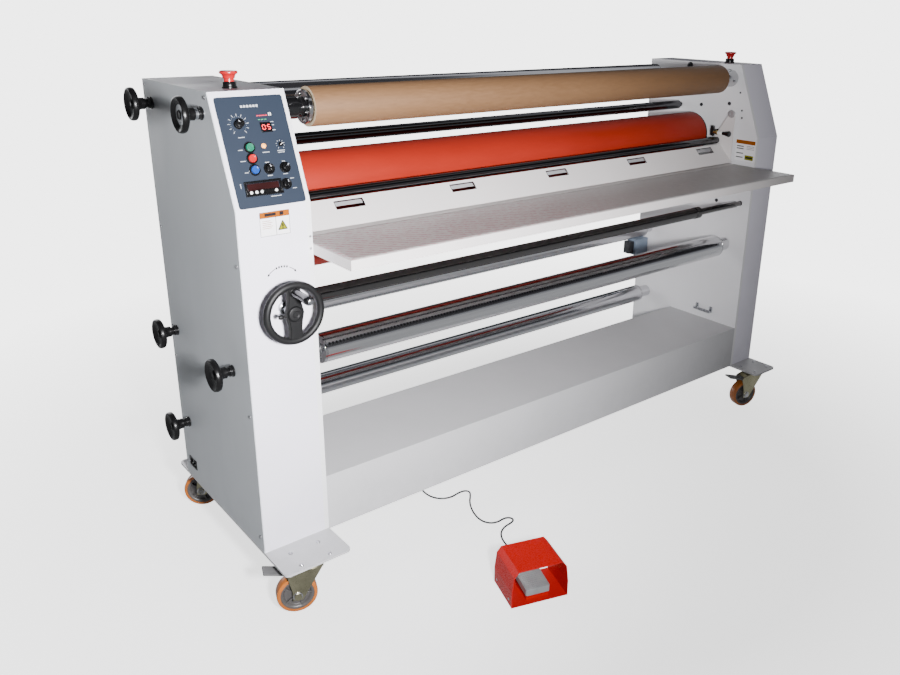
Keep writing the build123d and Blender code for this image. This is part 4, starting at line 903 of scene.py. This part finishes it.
def make_wall_sticker():
    """Plain sticker on the inner side of the right frame."""
    wall = from_axes((right_face, front + 4 * MM, 912 * MM), (0, 1, 0), (0, 0, 1), (1, 0, 0))
    wall = wall @ Matrix.Diagonal((1, 1, -1, 1))
    piece("wall_sticker", moved(cuboid(0, 79, 0, 73, 0, 0.35), wall), "sticker", soften=0.1)
    piece("wall_sticker_header", moved(bar(1, 65, 78, 65, 13, 0.35, 0.5), wall), "print_orange")
    piece("wall_sticker_panel", moved(bar(4, 13, 38, 13, 16, 0.35, 0.5), wall), "print_yellow")
    ink = [bar(46, y, 74, y, 3.2, 0.35, 0.5) for y in (50, 42, 26, 12)]
    ink += [bar(4, y, 34, y, 1.2, 0.35, 0.5) for y in (52, 47, 42)] + [bar(8, 13, 34, 13, 5, 0.5, 0.6)]
    piece("wall_sticker_ink", moved(join(*ink), wall), "dark_print_and_shade")


# ---------------------------------------------------------------- stop buttons, knobs and handwheel
STOPS = ("estop_left", "estop_right")


def stop_matrix(node):
    """Frame of a stop button on its cabinet's top."""
    centre = pivot(f"{node}_press")
    return aim((centre.x, centre.y, cabinet_top), (0, 0, 1))


def make_stops():
    """Mushroom stop buttons with a waisted neck and a dished top."""
    head = lathe([(0, 8), (11, 8), (11, 20.5), (13.2, 21.5), (13.6, 25), (15.5, 29), (19.2, 31), (20, 33), (19.6, 35.4),
                  (17.6, 36.8), (14, 36.6), (9, 35.7), (0, 35.4)], 56)
    for node in STOPS:
        piece(f"{node}_head", moved(head, stop_matrix(node)), "red", node, node)


def make_tension_knobs():
    """Dished discs on a waisted neck, with the black bush where each enters the cover."""
    disc = lathe([(0, 5.0), (8.0, 5.0), (8.8, 3.6), (9.6, 5.5), (13, 8.2), (20, 7.6), (27, 5.0), (31.5, 1.8),
                  (34.5, 0.4), (37.4, 1.6), (38.8, 5.0), (39.0, 9.0), (38.0, 13.0), (35.0, 15.0), (31.0, 14.6),
                  (24.0, 17.0), (17.0, 20.5), (14.5, 24.0), (13.6, 29.0), (13.8, 35.5), (12.6, 37.0), (10.0, 37.6),
                  (9.6, 44.0), (0, 44.0)], 72)
    bush = lathe([(0, 43.5), (12.4, 43.5), (12.4, 50), (14.6, 50.6), (14.6, 53.8), (9.1, 53.8), (9.1, 82), (0, 82)], 40)
    grub = moved(lathe([(0, 0), (2.4, 0), (2.4, 2.2), (1.2, 2.4), (0, 1.4)], 12), shift(0, 12, 47) @ turn(-pi / 2, "X"))
    for node in starting("tension_knob_"):
        place = aim((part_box(node)[0].x, *middle_line(node)), (1, 0, 0))
        piece(f"{node}_disc", moved(disc, place), "black", node, node)
        piece(f"{node}_bush", moved(join(bush, grub), place), "black_gloss", node, soften=0.3)


def make_handwheel():
    """Rim, waisted web with a raised rib, hub, and the grip on its pin."""
    matrix = aim(pivot("handwheel_turn"), (0, -1, 0))
    to_pin = shift(0, 50)
    rim_radius, section = 64.6, 8.7
    rim = lathe([(rim_radius + section * cos(angle) * (1.0 if cos(angle) > 0 else 0.92), section * sin(angle))
                 for angle in evenly(24)], 96, closed=True)
    outline = []
    for side in (1, -1):
        for k in range(-10, 11):
            along = side * k / 10
            width = 13.0 + 10.0 * (1 - abs(along)) ** 1.5 + 6.0 * abs(along) ** 4
            outline.append((side * width, along * 60))
    web = prism(outline, -3.2, 3.8)
    rib = prism([(x * 0.72, y * 0.98) for x, y in outline], 3.0, 6.0)
    hub = lathe([(0, -14), (16, -14), (18.5, -6), (18.5, 6), (15.5, 10), (8, 11), (7.4, 9), (0, 9)])
    boss = moved(lathe([(0, -4), (11, -4), (11.5, 6), (9.5, 9), (0, 9)], 40), to_pin)
    lock = moved(lathe([(0, 0), (2.6, 0), (2.6, 12), (5, 13), (5.6, 19), (4.4, 22), (0, 22.6)], 28),
                 shift(-16, -2, 2) @ turn(radians(-90), "Y"))
    piece("handwheel_rim", moved(join(rim, web, rib, hub, boss, lock), matrix), "black_matt", "handwheel",
          "nip_handwheel", 0.8)
    pin = moved(lathe([(0, -2), (4, -2), (4, 82), (6.5, 82.2), (6.5, 84), (4.5, 85), (0, 85)], 28), to_pin)
    spindle = lathe([(0, -108), (9, -108), (9, -14), (0, -14)], 32)
    collar = lathe([(9.0, -47.9), (16, -47.9), (16, -40), (13, -38), (9.0, -38)], 40, closed=True)
    piece("handwheel_spindle", moved(join(pin, spindle, collar), matrix), "steel_y", "handwheel",
          soften=0.3)
    sleeve = lathe([(4.1, 10.2), (8.6, 10.2), (10.2, 12), (10.6, 20), (9.8, 30), (9.4, 42), (10.2, 56), (11, 68),
                    (10.6, 76), (8.4, 80.4), (4.1, 81.6)], closed=True)
    piece("handwheel_grip_sleeve", moved(sleeve, matrix @ to_pin), "black_gloss", "grip",
          "handwheel_grip")


make_panel_print()
make_bezels()
make_display()
make_buttons()
make_selectors()
make_dials()
make_front_sticker()
make_arrows()
make_wall_sticker()
make_stops()
make_tension_knobs()
make_handwheel()


# ---------------------------------------------------------------- rollers
BORE = 12.1                # radius of the hole in what sits on a 24 mm shaft


def make_supply_roll():
    """Wound kraft tube with its ragged winding end, and the chucks that hold it."""
    low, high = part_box("supply_core_tube")
    matrix = aim((left_face, *middle_line("supply_core_tube")), (1, 0, 0))
    outer, inner = (high.z - low.z) / 2 / MM, 38.25
    first, last = (low.x - left_face) / MM, (high.x - left_face) / MM
    winds = 8
    ragged = [(inner + (outer - 0.15 - inner) * k / winds, 0.9 if k % 2 else 0.2) for k in range(winds + 1)]
    wall = [(inner, first + 1)] + [(radius, first + depth) for radius, depth in ragged]
    wall += [(outer, first + 1.2), (outer, last - 1.2)]
    wall += [(radius, last - depth) for radius, depth in reversed(ragged)] + [(inner, last - 1)]
    piece("kraft_roll", moved(lathe(wall, 120, closed=True), matrix), "kraft", "supply",
          "supply_core_tube")
    ring = lathe([(inner + 0.3, first), (outer - 0.6, first), (outer - 0.6, first + 0.8), (inner + 0.3, first + 0.8)],
                 96, closed=True)
    piece("kraft_cut_end", moved(ring, matrix), "cut_paper", "supply", soften=0.1)
    plate = lathe([(20, -12), (37.4, -12), (39, -10.6), (39, -2.2), (20, -2.2)], 72, closed=True)
    head = lathe([(0, 0), (4.4, 0), (4.4, 2.6), (3.4, 3.6), (2, 3.6), (2, 1.8), (0, 1.8)], 20)
    heads = around(head, evenly(6, 0.3), shift(30, 0, first - 12) @ turn(pi, "X"))
    piece("left_core_chuck", moved(join(moved(plate, shift(z=first)), heads), matrix), "chuck", "supply",
          soften=0.4)
    hub = lathe([(BORE, 4), (24, 4), (26, 6), (26, first - 30), (24, first - 28), (20.4, first - 28),
                 (20.4, first - 20), (22.5, first - 18), (22.5, first - 12.2), (BORE, first - 12.2)], 56, closed=True)
    grub = lathe([(0, 0), (3, 0), (3, 2), (1.6, 2.2), (0, 1.2)], 16)
    grubs = around(grub, (0.6, 2.7, 4.8), shift(25.6, 0, 18) @ turn(pi / 2, "Y"))
    piece("left_chuck_hub", moved(join(hub, grubs), matrix), "black_gloss", "supply",
          stands_for="supply_shaft", soften=0.4)
    shaft = lathe([(0, -226), (11.2, -226), (12, -225), (12, 1710), (0, 1710)], 40)
    disc = lathe([(12, -225), (28, -225), (28, -217.4), (12, -217.4)], closed=True)
    piece("supply_bar", moved(join(shaft, disc), matrix), "steel", "supply")
    end = 1696
    cap = lathe([(BORE, last + 0.4), (38, last + 0.4), (38, last + 4), (29, last + 6), (28, last + 10), (28, end - 6),
                 (26, end - 1), (BORE, end)], 64, closed=True)
    knob = lathe([(0, 0), (4, 0), (4, 3), (2.2, 3.4), (0, 2)], 20)
    knobs = around(knob, (0.2, 1.8, 3.4, 5.0), shift(27, 0, end - 22) @ turn(pi / 2, "Y"))
    piece("right_core_chuck", moved(join(cap, knobs), matrix), "chuck", "supply", soften=0.4)


def end_cap(radius):
    """Bolted end cap of a roller, about Z."""
    cap = lathe([(BORE, 0), (radius * 0.96, 0), (radius, 1.2), (radius, 6.5), (radius * 0.93, 8),
                 (radius * 0.55, 8.4), (radius * 0.5, 12), (BORE, 12)], 64, closed=True)
    head = lathe([(0, 0), (3.4, 0), (3.4, 2.6), (2.8, 3), (1.6, 3), (1.6, 1.4), (0, 1.4)], 20)
    return join(cap, around(head, evenly(4, 0.4), shift(radius * 0.74, 0, 8.0)))


def make_roller_ends():
    """End caps of the tube rollers and end faces of the nip rollers."""
    for node, left, right, radius in (("scale_takeup_roller", 50, 1636, 38.0), ("rear_mid_roller", 60, 1650, 33.0),
                                      ("rear_low_roller", 60, 1636, 31.5), ("rear_top_roller", 60, 1650, 38.0)):
        for x, side, word in ((left, -1, "left"), (right, 1, "right")):
            place = aim((left_face + x * MM, *middle_line(node)), (side, 0, 0))
            piece(f"{node}_{word}_cap", moved(end_cap(radius), place), "chuck", node.removesuffix("_roller"),
                  soften=0.3)
    for body in ("upper_nip", "lower_nip"):
        low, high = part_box(f"{body}_sleeve")
        edge = (high.z - low.z) / 2 / MM - 1.2
        face = lathe([(20.1, 0), (edge, 0), (edge, 1.6), (edge - 2, 2.4), (52, 2.4), (50, 4.4), (30, 4.4),
                      (20.1, 4.4)], 72, closed=True)
        for x, side, word in ((low.x, -1, "left"), (high.x, 1, "right")):
            piece(f"{body}_{word}_face", moved(face, aim((x, *middle_line(f"{body}_sleeve")), (side, 0, 0))), "black",
                  body, soften=0.2)


def make_deflector_collar():
    """Set collar with two screws where the deflector's thick tube ends."""
    ring = lathe([(18.1, 0), (19.4, 0), (19.45, 8), (18.1, 8)], closed=True)
    grubs = [moved(domed_head(3.2, 2.6), shift(z=11) @ turn(angle) @ shift(17) @ turn(pi / 2, "Y"))
             for angle in (2.2, 4.3)]
    place = aim((left_face + 1441 * MM, *middle_line("deflector_roller")), (1, 0, 0))
    piece("deflector_set_collar", moved(join(ring, *grubs), place), "dark_bolt", "deflector", soften=0.2)


make_supply_roll()
make_roller_ends()
make_deflector_collar()


# ---------------------------------------------------------------- table, guard and wall fittings
def make_table_film():
    """Protective film left on the table top, slightly lifted in long waves."""
    x0, x1 = table_low.x + 4 * MM, table_high.x - 4 * MM
    y0, y1 = table_low.y + 4 * MM, front + 66 * MM
    columns, rows = 120, 26
    verts, faces = [], []
    for i in range(columns + 1):
        for j in range(rows + 1):
            x = x0 + (x1 - x0) * i / columns
            y = y0 + (y1 - y0) * j / rows
            lift = 0.25 + 0.45 * max(0, noise.noise(Vector((x * 4.0, y * 16.0, 0.3))))
            verts.append(Vector((x, y, table_high.z + lift * MM)))
    for i in range(columns):
        for j in range(rows):
            k = i * (rows + 1) + j
            faces.append((k, k + rows + 1, k + rows + 2, k + 1))
    thick = piece("table_film", (verts, faces), "film").modifiers.new("thickness", "SOLIDIFY")
    thick.thickness = 0.12 * MM
    thick.offset = -1


def make_guard_windows():
    """Grey strip and dark bars at each sight window; the bars are painted shade along the window's edges."""
    slope = Vector((0, 140 - 84, 961 - 903.5))
    along = slope.normalized()
    outward = ACROSS.cross(along)
    lower_edge = Vector((left_face, front + 84 * MM, 903.5 * MM))
    strips, edge_shade_bars = [], []
    for k in range(5):
        middle = lower_edge + ACROSS * (877 + (k - 2) * 353) * MM
        # Grey strip across the upper part of the window opening.
        matrix = from_axes(middle + along * (slope.length - 17) * MM - outward * 2.7 * MM, ACROSS, along, outward)
        strips.append(moved(cuboid(-38, 38, -4.6, 6.2, -0.5, 0.6), matrix))
        matrix = from_axes(middle + along * (slope.length - 21) * MM, ACROSS, along, outward)
        # Dark bars round the opening, wider at the top and right: painted shade along its edges.
        edge_shade_bars += [moved(bar(*ends, width, -0.2, 0.5), matrix) for *ends, width in (
            (-40.6, -11, 40.6, -11, 1.3), (-40.6, 11, 40.6, 11, 2.4), (-40, -11.6, -40, 11.6, 1.3),
            (40, -11.6, 40, 11.6, 2.4))]
    piece("guard_window_painted_shade", join(*edge_shade_bars), "dark_print_and_shade", "guard")
    piece("guard_window_strips", join(*strips), "lens", "guard", soften=0.2)


def make_plunger():
    """Index plunger that holds the guard, on its post."""
    centre = Vector((right_face - 30 * MM, front + 164 * MM, 1001 * MM))
    body = cuboid(-5, 5, -5, 5, -13, 14)
    dome = moved(lathe([(0, 0), (5.6, 0), (6.6, 4), (5.4, 9), (0, 10.5)], 28), shift(z=13))
    stem = moved(lathe([(0, 0), (4, 0), (4, 30), (0, 30)], 24), aim((0, 0, 5 * MM), (1, 0, 0)))
    piece("plunger_post", moved(join(body, dome, stem), Matrix.Translation(centre)), "black",
          stands_for="side_fittings", soften=0.8)
    place = aim(centre - Vector((0, 5 * MM, 0)), (0, -1, 0))
    barrel = lathe([(0, 0), (5.5, 0), (5.5, 10), (7.6, 10.5), (7.6, 17), (6, 18), (0, 18)], 32)
    piece("plunger_body", moved(barrel, place), "brass", soften=0.3)
    sleeve = lathe([(0, 18), (7, 18), (7.4, 20), (7.4, 34), (6, 37), (0, 37)], 32)
    piece("plunger_sleeve", moved(sleeve, place), "pale", soften=0.3)
    knob = lathe([(0, 37), (6, 37), (6.2, 44), (9.5, 58), (10.6, 63), (9, 66), (0, 66.6)], 40)
    piece("plunger_knob", moved(knob, place), "black_gloss")


def make_wall_fittings():
    """Cleat, sensor, table spacer and power inlet in place of their plain forms."""
    right_wall = Matrix.Translation((right_face, front, 0))
    cleat = [moved(cuboid(-18, -12, 106, 180, 330, 340), right_wall)]
    for foot in (106, 168):
        cleat.append(moved(join(cuboid(-12.5, 0, foot, foot + 12, 330, 336),
                                cuboid(-5, 0, foot, foot + 12, 336, 352)), right_wall))
        cleat.append(screw((right_face - 5 * MM, front + (foot + 6) * MM, 345 * MM), (-1, 0, 0), 4, 2.4))
    piece("wall_cleat", join(*cleat), "steel_y", soften=0.8)
    sensor = join(cuboid(-66, 0, 442, 490, 486, 550), cuboid(-68, -66, 444, 454, 492, 544),
                  cuboid(-58, -12, 440.5, 442, 492, 544))
    piece("sensor_box", moved(sensor, right_wall), "sensor", soften=1.4)
    block = join(cuboid(-92, -66, 456, 486, 494, 542),
                 *(cuboid(-92.5, -90, 460, 482, level - 3, level + 3) for level in (500, 512, 524, 536)))
    piece("sensor_terminals", moved(block, right_wall), "dark_bolt", soften=0.8)
    gap, low, high = (table_high.x - right_face) / MM, table_low.z / MM, table_high.z / MM - 6
    spacer = join(moved(cuboid(gap, 0, 10, 160, low, high), right_wall),
                  screw((table_high.x + 8 * MM, front + 9.9 * MM, table_low.z + 10 * MM), (0, -1, 0), 3, 2))
    piece("table_spacer", spacer, "guard_paint", soften=0.8)
    left_wall = Matrix.Translation((outer_left, front, 0))
    y0, y1, z0, z1 = 415, 463, 186, 214
    rim = join(cuboid(-1.5, 10, y0, y1, z0, z0 + 4), cuboid(-1.5, 10, y0, y1, z1 - 4, z1),
               cuboid(-1.5, 10, y0, y0 + 5, z0, z1), cuboid(-1.5, 10, y1 - 5, y1, z0, z1),
               cuboid(8, 18, y0, y1, z0, z1))
    piece("power_inlet", moved(rim, left_wall), "black", soften=0.6)
    pins = join(*(cuboid(-0.5, 9, y - 2.4, y + 2.4, z - 1, z + 1) for y, z in ((439, 206), (431, 196), (447, 196))))
    piece("power_inlet_pins", moved(pins, left_wall), "bolt", soften=0.3)


make_table_film()
make_guard_windows()
make_plunger()
make_wall_fittings()


# ---------------------------------------------------------------- casters
def make_casters():
    """Orange tread on a dished grey hub, with swivel races and axle nuts."""
    tread = lathe([(41.2, -15), (46.5, -15), (49, -13.6), (49.9, -10.5), (50, 0), (49.9, 10.5), (49, 13.6), (46.5, 15),
                   (41.2, 15)], 72, closed=True)
    dish = lathe([(5.1, -16.5), (12, -16.5), (13, -15), (14, -9), (22, -6.5), (31, -7.5), (34, -12.5), (36.5, -14.4),
                  (41, -14.4), (41, 14.4), (36.5, 14.4), (34, 12.5), (31, 7.5), (22, 6.5), (14, 9), (13, 15),
                  (12, 16.5), (5.1, 16.5)], 72, closed=True)
    hub = join(dish, around(cuboid(13, 35, -1.6, 1.6, -13, 13), evenly(5)))
    nut = join(hexagon(9.4, 21, 26), lathe([(0, 20.9), (12, 20.9), (12, 22.2), (0, 22.2)], 32))
    nuts = join(*(moved(nut, Matrix.Diagonal((1, 1, side, 1))) for side in (1, -1)))
    race = lathe([(26, -14.5), (33.5, -12.5), (35, -9), (33.5, -5.6), (31.2, -4.8), (31.2, -3.8), (34, -2.6),
                  (34.4, -0.2), (26, -0.2)], 56, closed=True)
    for corner in CORNERS:
        wheel, fork = f"caster_wheel_{corner}", f"caster_fork_{corner}"
        place = aim(pivot(f"caster_{corner}_roll"), axis_of(f"caster_{corner}_roll"))
        piece(f"{wheel}_tread", moved(tread, place), "tread", wheel, wheel)
        piece(f"{wheel}_hub", moved(hub, place), "hub", wheel, soften=0.4)
        piece(f"{fork}_nuts", moved(nuts, place), "bolt", fork, soften=0.4)
        swivel = pivot(f"caster_{corner}_swivel")
        piece(f"{fork}_race", moved(race, Matrix.Translation((swivel.x, swivel.y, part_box(fork)[1].z))), "zinc", fork,
              soften=0.2)


make_casters()


# ---------------------------------------------------------------- foot switch
def make_foot_switch():
    """Ribbed cast treadle and the hood's rivets."""
    axis = axis_of("treadle_press")
    back = Vector((-axis.y, axis.x, 0))
    base = pivot("treadle_press")
    base.z = 0
    matrix = from_axes(base - back * 34 * MM, axis, back, (0, 0, 1))
    low, high, half = -46, 42, 33
    rows, columns = 12, 10

    def top(y):
        """Height of the sloping top, which rises to the back."""
        return 33 + 6.4 * (y - low) / (high - low)

    def on_top(x0, x1, y0, y1, height):
        """Rib on the sloping top, half sunk in it."""
        points, faces = cuboid(x0, x1, y0, y1, 0, 1)
        return [Vector((p.x, p.y, (top(p.y / MM) - height / 2) * MM + p.z * height)) for p in points], faces

    plate, faces = prism([(-half, low + 3), (-half + 3, low), (half - 3, low), (half, low + 3), (half, high),
                          (-half, high)], 0, 1)
    plate = [Vector((p.x, p.y, (top(p.y / MM) if p.z else 15 if p.y < 0 else 21.5) * MM)) for p in plate]
    lug = cuboid(-18, 18, 22, 40, 18.5, 26)
    ribs = []
    for k in range(rows):
        y = low + 6 + (high - low - 12) * k / (rows - 1)
        ribs.append(on_top(-half + 4, half - 4, y - 1.5, y + 1.5, 1.6))
    for k in range(columns):
        x = -half + 5 + (2 * half - 10) * k / (columns - 1)
        ribs.append(on_top(x - 0.9, x + 0.9, low + 5, high - 5, 1.2))
    piece("treadle_casting", moved(join((plate, faces), lug, *ribs), matrix), "cast", "treadle",
          "foot_treadle", 0.7)
    rivets = [moved(domed_head(3.4, 1.4), matrix @ aim((side * 77.0 * MM, y * MM, 16 * MM), (side, 0, 0)))
              for side in (-1, 1) for y in (-40, 40)]
    piece("foot_switch_rivets", join(*rivets), "bolt")


make_foot_switch()
